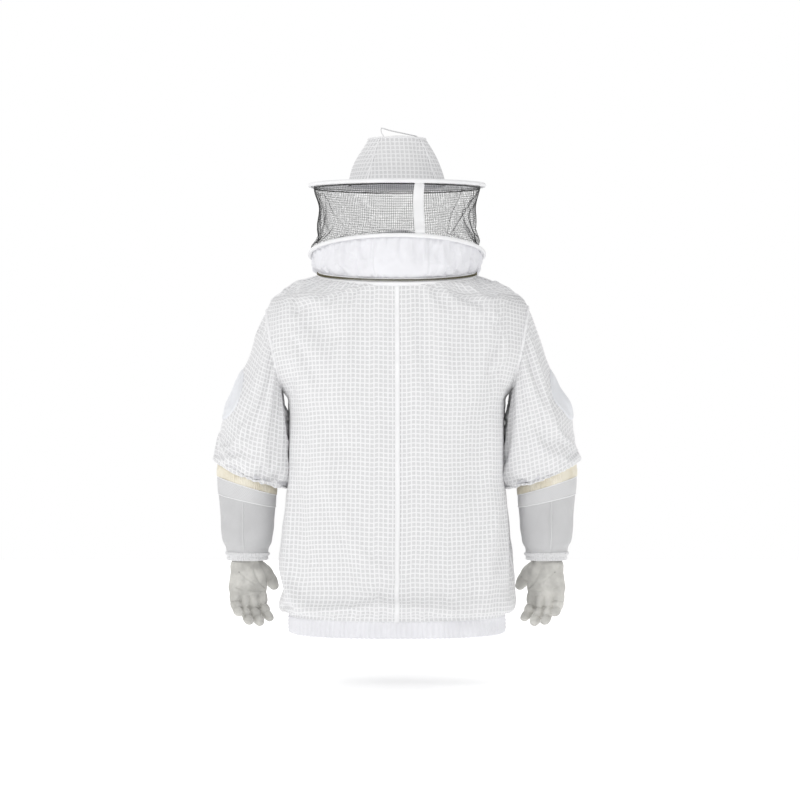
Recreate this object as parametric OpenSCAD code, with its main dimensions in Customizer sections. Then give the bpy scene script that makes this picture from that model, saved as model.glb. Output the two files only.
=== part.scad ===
// Ventilated beekeeping jacket with a round-hat veil and leather gauntlet gloves.
// Millimetres. +Z is up, the wearer faces -Y and the wearer's left is +X.
// The origin is the centre of the hem's lower edge.

/* [Jacket] */
// Wall of the padded three-layer mesh
mesh_wall = 3; // [2:0.5:4]
// Height of the elastic hem band
hem_height = 36; // [30:1:36]
// Depth of the jacket from the origin to its back
back_depth = 150; // [148:1:152]
// Depth of the jacket from the origin to its front
front_depth = 146; // [144:1:146]

/* [Neck zip] */
// Radius of the zip that joins the veil to the jacket
neck_r = 157; // [156:1:158]
// Height of the neck zip at the shoulders
neck_z = 716; // [715:1:718]
// Slope of the zip's back half
neck_back_tilt = 8.5; // [7:0.5:9]
// Slope of the zip's front half
neck_front_tilt = 28; // [26:1:29]

/* [Veil] */
// Radius of both spring-wire hoops
hoop_r = 174; // [173:1:177]
// Radius of the fabric casing around each wire
casing_r = 4; // [3.5:0.25:4.5]
// Radius of the spring wire
wire_r = 1.5; // [1:0.25:2]
// Height of the lower hoop's centre
hoop_z = 752; // [750:1:756]
// Lower hoop's slope, its back raised
hoop_tilt = 8.6; // [7:0.1:10]
// Height of the brim's centre
brim_z = 891; // [888:1:894]
// Brim's slope, its front raised
brim_tilt = -3; // [-4:0.1:-1]

/* [Hat] */
// Radius of the crown where it meets the brim
crown_base_r = 98; // [96:1:100]
// Radius of the crown at its top edge
crown_top_r = 57; // [54:1:60]
// Height of the crown
crown_h = 92; // [88:1:96]

/* [Gloves] */
// Wall of the glove leather
leather_wall = 2; // [1.5:0.25:2.5]
// Turn of the hand about the forearm, palm towards the back
hand_turn = 38; // [34:1:40]

/* [Hidden] */
$fn = 72;

// Colours
mesh_white = [0.93, 0.93, 0.94];
cotton_white = [0.96, 0.96, 0.98];
tape_white = [0.9, 0.9, 0.92];
coil_olive = [0.36, 0.35, 0.25];
slider_metal = [0.6, 0.6, 0.58];
net_black = [0.12, 0.12, 0.13];
wire_steel = [0.55, 0.56, 0.58];
elastic_cream = [0.93, 0.89, 0.76];
gauntlet_grey = [0.77, 0.78, 0.8];
leather_white = [0.87, 0.87, 0.83];

// Upper edge of the jacket, just under the neck zip
neck_edge_r = neck_r - 2;
neck_edge_drop = 5;
neck_edge_ring = [
    neck_z - neck_edge_drop,
    neck_z - neck_edge_drop - neck_edge_r * sin(neck_back_tilt),
    neck_z - neck_edge_drop - neck_edge_r * sin(neck_front_tilt),
    neck_edge_r,
    neck_edge_r * cos(neck_back_tilt),
    neck_edge_r * cos(neck_front_tilt),
    2
];

// Jacket rings from the hem to the neck:
// [side z, back z, front z, half width, back depth, front depth, squareness].
hem_gap = 0.5;
torso_rings = [
    [hem_height + hem_gap, hem_height + hem_gap, hem_height + hem_gap, 217, back_depth - 2, front_depth, 2.5],
    [64, 64, 64, 223, back_depth, front_depth, 2.5],
    [150, 150, 150, 225, back_depth + 1, front_depth, 2.5],
    [215, 215, 215, 220, back_depth, front_depth, 2.5],
    [270, 270, 270, 211, back_depth, front_depth, 2.5],
    [330, 330, 330, 202, back_depth - 1, front_depth, 2.5],
    [400, 400, 400, 200, back_depth - 2, front_depth, 2.5],
    [442, 442, 442, 205, back_depth - 2, front_depth, 2.5],
    [480, 480, 480, 227, back_depth - 2, front_depth, 2.5],
    [510, 508, 506, 246, back_depth - 1, front_depth, 2.5],
    [560, 552, 540, 269, back_depth, front_depth, 2.5],
    [604, 588, 566, 267, back_depth + 1, front_depth, 2.5],
    [640, 614, 586, 261, back_depth + 2, front_depth, 2.5],
    [662, 640, 602, 252, back_depth + 3, front_depth - 2, 2.4],
    [675, 660, 614, 236, back_depth + 4, front_depth - 3, 2.3],
    [696, 677, 628, 198, back_depth + 5, front_depth - 6, 2.2],
    neck_edge_ring
];
shoulder_z = 640;
panel_steps = 12;
side_seam_angle = 0.1;
front_zip_half_gap = 10;

// Armhole: an ellipse seen from the side.
armhole_z = 560;
armhole_half_height = 97;
armhole_half_depth = 90;

// Sleeve rings from the armhole to the sleeve hem:
// [outer x, outer z, inner x, inner z, half depth].
sleeve_rings = [
    [262, 652, 226, 466, 86],
    [286, 606, 216, 450, 85],
    [313, 542, 211, 425, 83],
    [334, 498, 209, 400, 80],
    [352, 462, 208, 375, 78],
    [361, 420, 209, 345, 76],
    [366, 380, 210, 312, 74],
    [367, 342, 212, 283, 72]
];
sleeve_steps = 28;
sleeve_head_z = 598;
elbow_z = 418;
elbow_limit = 80;
fold_gap = 0.4;

// Glove rings from the gauntlet's top to the wrist, in the same form.
glove_rings = [
    [354, 352, 242, 306, 57],
    [359, 304, 241, 268, 56],
    [354, 245, 244, 228, 52],
    [351, 192, 249, 186, 47],
    [340, 160, 258, 158, 38],
    [336, 142, 262, 142, 32]
];
glove_steps = 24;

// Hand, from the wrist down: x runs from the index side to the little-finger side.
wrist_x = 299;
wrist_z = 142;
// Fingers: [knuckle x, knuckle z, splay, [bone lengths], base radius, tip radius]
fingers = [
    [-32, -66, -5, [26, 19, 13], 12.5, 9.5],
    [-11, -70, -1, [28, 21, 13], 12.5, 9.5],
    [10, -68, 2, [27, 20, 13], 12, 9.5],
    [30, -60, 6, [22, 16, 12], 11.5, 9]
];
finger_curl = [8, 24, 26];
thumb_path = [[-28, 2, -18], [-54, -6, -34], [-72, -12, -56]];
thumb_r = [17, 13.5, 10.5];

// Hoop and ring sections
hoop_inner_gap = 2;
skirt_top_r = hoop_r - casing_r - 1.5;
net_bottom_r = hoop_r - casing_r - 3.2;
net_top_r = 165;
net_waist_r = 152;
net_wall = 0.8;
ring_steps = 40;

// ---------------------------------------------------------------- helpers

function mix(a, b, k) = a + (b - a) * k;

function ring_at(rings, s) =
    let (i = min(floor(s), len(rings) - 2))
    mix(rings[i], rings[i + 1], s - i);

// Power of a sine or cosine that keeps its sign
function bend(v, n) = sign(v) * pow(abs(v), 2 / n);

// Point on a jacket ring at angle t: 0 is the wearer's left and 90 is the back.
function torso_point(ring, t, off) =
    let (
        depth = (sin(t) > 0 ? ring[4] : ring[5]) + off,
        share = abs(bend(sin(t), ring[6])),
        z = ring[0] + ((sin(t) > 0 ? ring[1] : ring[2]) - ring[0]) * share,
        lift = ring[0] > shoulder_z ? off * 0.8 : 0
    )
    [(ring[3] + off) * bend(cos(t), ring[6]), depth * bend(sin(t), ring[6]), z + lift];

// Angle at which a jacket panel stops beside the armhole
function armhole_angle(ring) =
    let (
        k = (ring[0] - armhole_z) / armhole_half_height,
        reach = abs(k) < 1 ? armhole_half_depth * sqrt(1 - k * k) : 0
    )
    max(side_seam_angle, asin(pow(reach / back_depth, ring[6] / 2)));

// Angle at which a front panel stops beside the zip
function zip_angle(ring) = acos(pow(front_zip_half_gap / ring[3], ring[6] / 2));

// Point on a sleeve or glove ring: 0 is the outer side and 90 is the back.
function tube_point(ring, t, off) =
    let (
        centre = [(ring[0] + ring[2]) / 2, 0, (ring[1] + ring[3]) / 2],
        half = [(ring[0] - ring[2]) / 2, 0, (ring[1] - ring[3]) / 2],
        grow = (norm(half) + off) / norm(half)
    )
    centre + half * grow * cos(t) + [0, (ring[4] + off) * sin(t), 0];

// Point on the neck zip's path at angle t, r from its axis and h above its plane
function neck_point(t, r, h) =
    let (
        tilt = sin(t) > 0 ? -neck_back_tilt : neck_front_tilt,
        y = r * sin(t)
    )
    [r * cos(t), y * cos(tilt) - h * sin(tilt) * abs(sin(t)), neck_z + y * sin(tilt) + h * cos(tilt)];

// Point on a hoop of radius r, h above its plane
function hoop_point(t, r, h, z, tilt) =
    let (y = r * sin(t))
    [r * cos(t), y * cos(tilt) - h * sin(tilt), z + y * sin(tilt) + h * cos(tilt)];

// Closed sheet between two grids of points with the same rows and columns
module sheet(outer, inner) {
    rows = len(outer);
    cols = len(outer[0]);
    points = concat([for (r = outer) each r], [for (r = inner) each r]);
    base = rows * cols;
    function at(i, j) = i * cols + j;
    faces = concat(
        [for (i = [0 : rows - 2], j = [0 : cols - 2]) each [
            [at(i, j), at(i + 1, j), at(i, j + 1)],
            [at(i + 1, j), at(i + 1, j + 1), at(i, j + 1)],
            [base + at(i, j), base + at(i, j + 1), base + at(i + 1, j)],
            [base + at(i + 1, j), base + at(i, j + 1), base + at(i + 1, j + 1)]
        ]],
        [for (i = [0 : rows - 2]) each [
            [at(i, 0), base + at(i, 0), at(i + 1, 0)],
            [at(i + 1, 0), base + at(i, 0), base + at(i + 1, 0)],
            [at(i, cols - 1), at(i + 1, cols - 1), base + at(i, cols - 1)],
            [at(i + 1, cols - 1), base + at(i + 1, cols - 1), base + at(i, cols - 1)]
        ]],
        [for (j = [0 : cols - 2]) each [
            [at(0, j), at(0, j + 1), base + at(0, j)],
            [at(0, j + 1), base + at(0, j + 1), base + at(0, j)],
            [at(rows - 1, j), base + at(rows - 1, j), at(rows - 1, j + 1)],
            [at(rows - 1, j + 1), base + at(rows - 1, j), base + at(rows - 1, j + 1)]
        ]]
    );
    polyhedron(points, faces, convexity = 6);
}

// Closed tube between an outer and an inner grid whose columns run all the way round
module tube(outer, inner) {
    rows = len(outer);
    cols = len(outer[0]);
    points = concat([for (r = outer) each r], [for (r = inner) each r]);
    base = rows * cols;
    function at(i, j) = i * cols + j % cols;
    faces = concat(
        [for (i = [0 : rows - 2], j = [0 : cols - 1]) each [
            [at(i, j), at(i + 1, j), at(i, j + 1)],
            [at(i + 1, j), at(i + 1, j + 1), at(i, j + 1)],
            [base + at(i, j), base + at(i, j + 1), base + at(i + 1, j)],
            [base + at(i + 1, j), base + at(i, j + 1), base + at(i + 1, j + 1)]
        ]],
        [for (j = [0 : cols - 1]) each [
            [at(0, j), at(0, j + 1), base + at(0, j)],
            [at(0, j + 1), base + at(0, j + 1), base + at(0, j)],
            [at(rows - 1, j), base + at(rows - 1, j), at(rows - 1, j + 1)],
            [at(rows - 1, j + 1), base + at(rows - 1, j), base + at(rows - 1, j + 1)]
        ]]
    );
    polyhedron(points, faces, convexity = 6);
}

module on_right() {
    mirror([1, 0, 0]) children();
}

// ---------------------------------------------------------------- jacket

function panel_grid(off, from, to) = [
    for (ring = torso_rings) [
        for (j = [0 : panel_steps])
            torso_point(ring, mix(from(ring), to(ring), j / panel_steps), off)
    ]
];

module back_panel() {
    from = function (ring) armhole_angle(ring);
    to = function (ring) 90 - side_seam_angle;
    sheet(panel_grid(0, from, to), panel_grid(-mesh_wall, from, to));
}

module front_panel() {
    from = function (ring) -zip_angle(ring);
    to = function (ring) -armhole_angle(ring);
    sheet(panel_grid(0, from, to), panel_grid(-mesh_wall, from, to));
}

module back_panel_left() {
    color(mesh_white) back_panel();
}

module back_panel_right() {
    color(mesh_white) on_right() back_panel();
}

module front_panel_left() {
    color(mesh_white) front_panel();
}

module front_panel_right() {
    color(mesh_white) on_right() front_panel();
}

// Narrow strip on the back, from the hem band to the neck zip
module centre_back_seam() {
    half_width = 7;
    clear = 0.6;
    thick = 1.4;
    function strip(off) = [
        for (ring = torso_rings)
            [for (x = [half_width, -half_width]) [x, ring[4] + off, ring[1]]]
    ];
    color(cotton_white) sheet(strip(clear + thick), strip(clear));
}

collar_r = 78;
collar_z = 752;
collar_tilt = 12;
collar_low = -22;
collar_high = 27;

// Inner part of the jacket, between the neck zip and the collar
module neck_yoke() {
    rows = 4;
    zip_edge_r = neck_r - 9;
    function grid(off) = [
        for (i = [0 : rows]) [
            for (j = [0 : ring_steps - 1])
                let (
                    t = 360 * j / ring_steps,
                    zip_side = neck_point(t, zip_edge_r, -4 + off),
                    neck_side = hoop_point(t, collar_r, collar_low - 3 + off, collar_z, collar_tilt)
                )
                mix(zip_side, neck_side, i / rows)
        ]
    ];
    color(cotton_white) tube(grid(0), grid(-1.5));
}

// Mesh stand-up collar with an opening at the front
module collar() {
    opening = 14;
    color(mesh_white)
        translate([0, 0, collar_z])
        rotate([collar_tilt, 0, 0])
        rotate([0, 0, -90 + opening / 2])
        rotate_extrude(angle = 360 - opening)
        translate([collar_r - mesh_wall, collar_low])
        square([mesh_wall, collar_high - collar_low]);
}

hem_w = 214;
hem_d = 145;

module oval(off) {
    polygon([
        for (j = [0 : 71])
            let (t = 5 * j)
            [(hem_w + off) * bend(cos(t), 2.5), (hem_d + off) * bend(sin(t), 2.5)]
    ]);
}

module oval_ring(outer, inner, height) {
    linear_extrude(height)
        difference() {
            oval(outer);
            oval(inner);
        }
}

// Casing of the hem, open at its top, with a channel for the elastic
module hem_band() {
    floor_z = 2;
    color(cotton_white)
        difference() {
            oval_ring(0, -7, hem_height);
            translate([0, 0, floor_z]) oval_ring(-1.5, -5.5, hem_height);
        }
}

module hem_elastic() {
    color(elastic_cream)
        translate([0, 0, 3]) oval_ring(-2.2, -4.8, hem_height - 5);
}

// ---------------------------------------------------------------- front zip

zip_low = 44;
zip_high = 584;
slider_z = 566;
zip_y = -front_depth - 0.6;

module front_placket() {
    half_width = 22;
    color(cotton_white)
        translate([-half_width, -front_depth + mesh_wall + 0.8, zip_low])
        cube([2 * half_width, 1.4, zip_high - zip_low]);
}

module front_zip_tapes() {
    width = 15;
    color(tape_white)
        for (side = [0, 1])
            mirror([side, 0, 0])
                translate([3.4, zip_y - 1, zip_low])
                cube([width, 1, zip_high - zip_low]);
}

module front_zip_coils() {
    color(coil_olive)
        for (side = [0, 1])
            mirror([side, 0, 0])
                translate([1.7, zip_y - 1.6, zip_low])
                cylinder(r = 1.5, h = zip_high - zip_low, $fn = 24);
}

module front_zip_stops() {
    stop_h = 4;
    color(slider_metal)
        for (z = [zip_low - stop_h - 0.4, zip_high + 0.4])
            translate([-3.6, zip_y - 3.4, z])
            cube([7.2, 3, stop_h]);
}

slider_face_y = zip_y - 7.5;
pull_axis_y = slider_face_y - 2.2;
barrel_r = 1.05;

// Slider with two ears that hold the pull's barrel
module front_zip_slider() {
    half_h = 8;
    ear_half = 1.9;
    ear_thick = 1.5;
    ear_from = 3;
    color(slider_metal)
        union() {
            translate([0, slider_face_y + 4, slider_z])
                rotate([90, 0, 0])
                linear_extrude(4)
                polygon([
                    [-3.2, -half_h], [3.2, -half_h], [4.6, -3],
                    [5, half_h], [-5, half_h], [-4.6, -3]
                ]);
            for (side = [0, 1])
                mirror([side, 0, 0])
                    translate([ear_from, 0, slider_z])
                    difference() {
                        translate([0, pull_axis_y - ear_half, -ear_half])
                            cube([ear_thick, slider_face_y - pull_axis_y + ear_half + 0.5, 2 * ear_half]);
                        translate([-1, pull_axis_y, 0])
                            rotate([0, 90, 0])
                            cylinder(r = barrel_r + 0.08, h = 10, $fn = 32);
                    }
        }
}

// Pull tab, hung on its barrel between the slider's ears
module front_zip_pull() {
    color(slider_metal)
        translate([0, pull_axis_y, slider_z]) {
            rotate([0, 90, 0]) cylinder(r = barrel_r, h = 8.8, center = true, $fn = 32);
            translate([-2.4, -0.7, -30]) cube([4.8, 1.4, 30]);
        }
}

// ---------------------------------------------------------------- pockets and flap

half_widths = [for (ring = torso_rings) [ring[2], ring[3]]];

// Depth of the jacket's front at x and height z
function front_y(x, z) = -front_depth * pow(1 - pow(x / lookup(z, half_widths), 2.5), 1 / 2.5);

// Patch pocket laid on the front, between two distances from the centre and two heights
module patch_pocket(x_from, x_to, z_from, z_to) {
    steps = 8;
    rows = 4;
    function grid(off) = [
        for (i = [0 : rows]) [
            for (j = [0 : steps])
                let (x = mix(x_from, x_to, j / steps), z = mix(z_from, z_to, i / rows))
                [x, front_y(x, z) - off, z]
        ]
    ];
    sheet(grid(1), grid(3.2));
}

module chest_pocket() {
    color(mesh_white) patch_pocket(x_from = 42, x_to = 132, z_from = 420, z_to = 526);
}

flap_x = 88;
flap_y = -149.6;
flap_z = 540;
flap_turn = 12;

// Pocket flap, hinged along its top edge
module chest_pocket_flap() {
    width = 98;
    drop = 40;
    color(cotton_white)
        translate([flap_x, flap_y, flap_z])
        rotate([0, 0, flap_turn])
        translate([-width / 2, -2, -drop])
        cube([width, 2, drop]);
}

module hip_pockets() {
    color(mesh_white)
        for (side = [0, 1])
            mirror([side, 0, 0])
                patch_pocket(x_from = 34, x_to = 158, z_from = 70, z_to = 225);
}

// Tab that covers the neck zip's sliders at the front
module neck_flap() {
    width = 60;
    rise = 38;
    thick = 1.6;
    front_y = -153.5;
    hinge_z = 612;
    color(cotton_white)
        translate([-width / 2, front_y, hinge_z])
        cube([width, thick, rise]);
}

// ---------------------------------------------------------------- neck zip

// Two half rings along the neck zip's path with the given section
module neck_ring(r_from, r_to, z_from, z_to) {
    end_gap = 0.8;
    for (half = [[0, -neck_back_tilt], [180, neck_front_tilt]])
        translate([0, 0, neck_z])
            rotate([half[1], 0, 0])
            rotate([0, 0, half[0] + end_gap])
            rotate_extrude(angle = 180 - 2 * end_gap)
            translate([r_from, z_from])
            square([r_to - r_from, z_to - z_from]);
}

module neck_zip_lower_tape() {
    color(tape_white) neck_ring(neck_r - 8, neck_r, -3.2, -2);
}

module neck_zip_lower_coil() {
    color(coil_olive) neck_ring(neck_r + 0.3, neck_r + 2.8, -1.9, -0.15);
}

module neck_zip_upper_tape() {
    color(tape_white) neck_ring(neck_r - 8, neck_r, 2, 3.2);
}

module neck_zip_upper_coil() {
    color(coil_olive) neck_ring(neck_r + 0.3, neck_r + 2.8, 0.15, 1.9);
}

// Slider with its pull lying along the zip
module neck_slider() {
    slider_arc = 5;
    pull_arc = 11;
    park = 4;
    color(slider_metal)
        translate([0, 0, neck_z])
        rotate([neck_front_tilt, 0, 0])
        rotate([0, 0, -90 + park]) {
            rotate_extrude(angle = slider_arc)
                translate([neck_r + 3.3, -4])
                square([4, 8]);
            rotate([0, 0, 1])
                rotate_extrude(angle = pull_arc)
                translate([neck_r + 7, -2.5])
                square([1.4, 5]);
        }
}

module neck_slider_left() {
    neck_slider();
}

module neck_slider_right() {
    on_right() neck_slider();
}

// ---------------------------------------------------------------- sleeves

function tube_grid(rings, off, s_from, s_to, rows, steps) = [
    for (i = [0 : rows]) [
        for (j = [0 : steps - 1])
            tube_point(ring_at(rings, mix(s_from, s_to, i / rows)), 360 * j / steps, off)
    ]
];

module tube_part(rings, off, wall, s_from, s_to, rows, steps) {
    tube(
        tube_grid(rings, off, s_from, s_to, rows, steps),
        tube_grid(rings, off - wall, s_from, s_to, rows, steps)
    );
}

sleeve_end = len(sleeve_rings) - 1;

// Slope of each side of the wedge that the front of the elbow folds into
elbow_slope = tan(elbow_limit / 2 + 2);

// Height of the elbow's cut at depth y: side is 1 above the wedge and -1 below it.
function cut_height(y, side) = elbow_z + side * (fold_gap + max(0, -y) * elbow_slope);

// How far down the sleeve the line at angle t meets the elbow's cut, found by halving
function elbow_cut(t, side, low, high, turns) =
    let (
        middle = (low + high) / 2,
        p = tube_point(ring_at(sleeve_rings, middle), t, 0)
    )
    turns == 0 ? middle
    : p[2] > cut_height(p[1], side) ? elbow_cut(t, side, middle, high, turns - 1)
    : elbow_cut(t, side, low, middle, turns - 1);

// How far down the sleeve the line at angle t meets the shoulder's fold, found by halving
function head_cut(t, low, high, turns) =
    let (
        middle = (low + high) / 2,
        p = tube_point(ring_at(sleeve_rings, middle), t, 0)
    )
    turns == 0 ? middle
    : p[2] > sleeve_head_z ? head_cut(t, middle, high, turns - 1)
    : head_cut(t, low, middle, turns - 1);

halvings = 16;
function elbow_s(t, side) = elbow_cut(t, side, 0, sleeve_end, halvings);
function head_s(t) = head_cut(t, 0, 3, halvings);

// Sleeve points between two lines that are functions of the angle
function sleeve_grid(off, from, to, rows, angles) = [
    for (i = [0 : rows])
        [for (t = angles) tube_point(ring_at(sleeve_rings, mix(from(t), to(t), i / rows)), t, off)]
];

round_angles = [for (j = [0 : sleeve_steps - 1]) 360 * j / sleeve_steps];

// Top of the sleeve, which crumples when the arm is raised
module sleeve_head() {
    reach = 58;
    angles = [for (j = [0 : 8]) mix(-reach, reach, j / 8)];
    from = function (t) 0;
    to = function (t) head_s(t) - 0.02;
    color(mesh_white)
        sheet(
            sleeve_grid(0, from, to, 2, angles),
            sleeve_grid(-mesh_wall, from, to, 2, angles)
        );
}

module upper_sleeve() {
    rows = 8;
    from = function (t) head_s(t);
    to = function (t) elbow_s(t, 1);
    color(mesh_white)
        tube(
            sleeve_grid(0, from, to, rows, round_angles),
            sleeve_grid(-mesh_wall, from, to, rows, round_angles)
        );
}

// Front of the elbow, which crumples when the arm bends
module elbow_fold() {
    end = 10;
    rows = 3;
    clear = 0.06;
    angles = [for (j = [0 : 14]) mix(end - 180, -end, j / 14)];
    from = function (t) elbow_s(t, 1) + clear;
    to = function (t) elbow_s(t, -1) - clear;
    color(mesh_white)
        sheet(
            sleeve_grid(0, from, to, rows, angles),
            sleeve_grid(-mesh_wall, from, to, rows, angles)
        );
}

module lower_sleeve() {
    rows = 5;
    from = function (t) elbow_s(t, -1);
    to = function (t) sleeve_end;
    color(mesh_white)
        tube(
            sleeve_grid(0, from, to, rows, round_angles),
            sleeve_grid(-mesh_wall, from, to, rows, round_angles)
        );
}

// Oval patch on the outer back of the elbow
module elbow_patch() {
    rows = 8;
    cols = 6;
    s_mid = 3.45;
    s_half = 1.3;
    t_mid = 12;
    t_half = 36;
    function grid(off) = [
        for (i = [0 : rows])
            let (
                k = mix(-0.97, 0.97, i / rows),
                reach = t_half * sqrt(1 - k * k)
            )
            [for (j = [0 : cols])
                tube_point(
                    ring_at(sleeve_rings, s_mid + k * s_half),
                    t_mid - reach + 2 * reach * j / cols,
                    off
                )]
    ];
    color(cotton_white) sheet(grid(2.8), grid(1.3));
}

// Elastic casing just inside the sleeve hem
module sleeve_cuff() {
    color(cotton_white)
        tube_part(sleeve_rings, -mesh_wall - 0.8, 1.6, sleeve_end - 0.6, sleeve_end, 2, sleeve_steps);
}

module sleeve_head_left() {
    sleeve_head();
}

module sleeve_head_right() {
    on_right() sleeve_head();
}

module upper_sleeve_left() {
    upper_sleeve();
}

module upper_sleeve_right() {
    on_right() upper_sleeve();
}

module elbow_fold_left() {
    elbow_fold();
}

module elbow_fold_right() {
    on_right() elbow_fold();
}

module lower_sleeve_left() {
    lower_sleeve();
}

module lower_sleeve_right() {
    on_right() lower_sleeve();
}

module elbow_patch_left() {
    elbow_patch();
}

module elbow_patch_right() {
    on_right() elbow_patch();
}

module sleeve_cuff_left() {
    sleeve_cuff();
}

module sleeve_cuff_right() {
    on_right() sleeve_cuff();
}

// ---------------------------------------------------------------- veil

// Cotton skirt from the neck zip up to the lower hoop
module veil_skirt() {
    rows = 6;
    bulge = 7;
    function grid(off) = [
        for (i = [0 : rows])
            let (
                k = i / rows,
                swell = bulge * sin(180 * k)
            )
            [for (j = [0 : ring_steps - 1])
                let (
                    t = 360 * j / ring_steps,
                    low = neck_point(t, neck_r - 4.5 + off + swell, 4.8),
                    high = hoop_point(t, skirt_top_r + off + swell, 0, hoop_z, hoop_tilt)
                )
                mix(low, high, k)]
    ];
    color(cotton_white) tube(grid(0), grid(-1.4));
}

// Placed at the lower hoop's centre and slope
module at_hoop() {
    translate([0, 0, hoop_z]) rotate([hoop_tilt, 0, 0]) children();
}

module at_brim() {
    translate([0, 0, brim_z]) rotate([brim_tilt, 0, 0]) children();
}

module ring_of(r, section_r) {
    rotate_extrude() translate([r, 0]) circle(r = section_r, $fn = 32);
}

module hollow_ring(r, outer_r, inner_r) {
    rotate_extrude()
        translate([r, 0])
        difference() {
            circle(r = outer_r, $fn = 32);
            circle(r = inner_r, $fn = 32);
        }
}

module lower_hoop_wire() {
    color(wire_steel) at_hoop() ring_of(hoop_r, wire_r);
}

module lower_hoop_casing() {
    color(cotton_white) at_hoop() hollow_ring(hoop_r, casing_r, wire_r + 0.4);
}

// Point on the netting: k runs from the lower hoop to the brim.
function net_point(t, k, off) =
    let (
        waist = k < 0.7 ? mix(net_bottom_r, net_waist_r, pow(sin(90 * k / 0.7), 2))
                        : mix(net_waist_r, net_top_r, pow((k - 0.7) / 0.3, 1.5)),
        low = hoop_point(t, waist + off, 3.5, hoop_z, hoop_tilt),
        high = hoop_point(t, waist + off, -3, brim_z, brim_tilt)
    )
    mix(low, high, k);

module netting() {
    rows = 10;
    function grid(off) = [
        for (i = [0 : rows])
            [for (j = [0 : ring_steps - 1]) net_point(360 * j / ring_steps, i / rows, off)]
    ];
    color(net_black) tube(grid(0), grid(-net_wall));
}

// White tape down the back of the netting
module net_back_tape() {
    rows = 10;
    middle = 105;
    half = 4.2;
    function grid(off) = [
        for (i = [0 : rows])
            [for (j = [0 : 2]) net_point(middle - half + half * j, i / rows, off)]
    ];
    color(cotton_white) sheet(grid(3.2), grid(1.8));
}

// ---------------------------------------------------------------- hat

module brim() {
    color(mesh_white)
        at_brim()
        rotate_extrude()
        translate([crown_base_r - 1, -1.2])
        square([hoop_r - casing_r - crown_base_r + 0.5, 2.4]);
}

module brim_wire() {
    color(wire_steel) at_brim() ring_of(hoop_r, wire_r);
}

module brim_binding() {
    color(cotton_white) at_brim() hollow_ring(hoop_r, casing_r, wire_r + 0.4);
}

// Crown wall, drawn as a band between two bowed lines
module crown() {
    steps = 6;
    bow = 5;
    foot = 1.8;
    function wall(off) = [
        for (i = [0 : steps])
            let (k = i / steps)
            [mix(crown_base_r, crown_top_r, k) + bow * sin(180 * k) - off, foot + (crown_h - foot) * k]
    ];
    outer = wall(0);
    inner = wall(mesh_wall);
    color(mesh_white)
        at_brim()
        rotate_extrude()
        polygon(concat(outer, [for (i = [steps : -1 : 0]) inner[i]]));
}

module crown_top() {
    dome = 5;
    gap = 0.5;
    r = crown_top_r;
    color(mesh_white)
        at_brim()
        translate([0, 0, crown_h + gap])
        rotate_extrude()
        polygon([[0, dome - 2.5], [r - 5, 0], [r, 0], [r - 2, 2.5], [r * 0.6, dome], [0, dome + 1.5]]);
}

// Strap sewn across the crown's top, standing up at its left end
module crown_loop() {
    width = 14;
    set_back = 8;
    low = [-40, 5.4];
    high = [32, 22];
    foot = [28, 6.6];
    thick = 1.4;
    color(cotton_white)
        at_brim()
        translate([0, set_back + width / 2, crown_h])
        rotate([90, 0, 0])
        linear_extrude(width)
        polygon([
            low, low + [0, thick], high, foot + [thick, 0], foot, high - [1.5 * thick, 1.8 * thick], low + [2, 0]
        ]);
}

// Band that rests on the head, leaning in with the crown's wall
module sweatband() {
    thick = 1.4;
    low = [crown_base_r - 5.4, -3];
    high = [crown_base_r - 10.8, 21];
    color(cotton_white)
        at_brim()
        rotate_extrude()
        polygon([low, low + [thick, 0], high + [thick, 0], high]);
}

// ---------------------------------------------------------------- gloves

module glove_part(off, wall, s_from, s_to, rows) {
    tube_part(glove_rings, off, wall, s_from, s_to, rows, glove_steps);
}

// Places along the glove rings where one band of the gauntlet ends and the next begins
cuff_end = 0.9;
mesh_band_end = 1.5;
gauntlet_end = 4;
band_gap = 0.02;

module glove_cuff() {
    color(elastic_cream) glove_part(1, 3, 0, cuff_end, 2);
}

module glove_mesh_band() {
    color(cotton_white) glove_part(0, 2, cuff_end + band_gap, mesh_band_end, 2);
}

module gauntlet() {
    color(gauntlet_grey) glove_part(0, 2, mesh_band_end + band_gap, gauntlet_end, 9);
}

module wrist_elastic() {
    color(gauntlet_grey) glove_part(1, 3, gauntlet_end + 2 * band_gap, 5 - band_gap, 2);
}

// One bone of a finger between two points
module bone(a, b, ra, rb) {
    hull() {
        translate(a) sphere(r = ra, $fn = 12);
        translate(b) sphere(r = rb, $fn = 12);
    }
}

// Directions down a finger after each bend towards the palm
function finger_step(splay, curl, length) =
    [length * sin(splay), length * sin(curl), -length * cos(curl)];

module finger(f, shrink) {
    start = [f[0], 0, f[1]];
    curls = [finger_curl[0], finger_curl[0] + finger_curl[1], finger_curl[0] + finger_curl[1] + finger_curl[2]];
    p1 = start + finger_step(f[2], curls[0], f[3][0]);
    p2 = p1 + finger_step(f[2], curls[1], f[3][1]);
    p3 = p2 + finger_step(f[2], curls[2], f[3][2]);
    bone(start, p1, f[4] - shrink, f[4] - shrink - 1);
    bone(p1, p2, f[4] - shrink - 1, f[5] - shrink + 0.5);
    bone(p2, p3, f[5] - shrink + 0.5, f[5] - shrink);
}

module palm(shrink) {
    hull() {
        for (f = fingers)
            translate([f[0] * 0.95, 0, f[1] + 6]) sphere(r = 14 - shrink, $fn = 16);
        for (x = [-18, 18])
            translate([x, 0, -12]) sphere(r = 19 - shrink, $fn = 16);
        translate([-20, 5, -34]) sphere(r = 18 - shrink, $fn = 16);
        translate([22, 3, -36]) sphere(r = 17 - shrink, $fn = 16);
    }
}

module hand_form(shrink) {
    palm(shrink);
    for (f = fingers)
        finger(f, shrink);
    for (i = [0, 1])
        bone(thumb_path[i], thumb_path[i + 1], thumb_r[i] - shrink, thumb_r[i + 1] - shrink);
}

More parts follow.
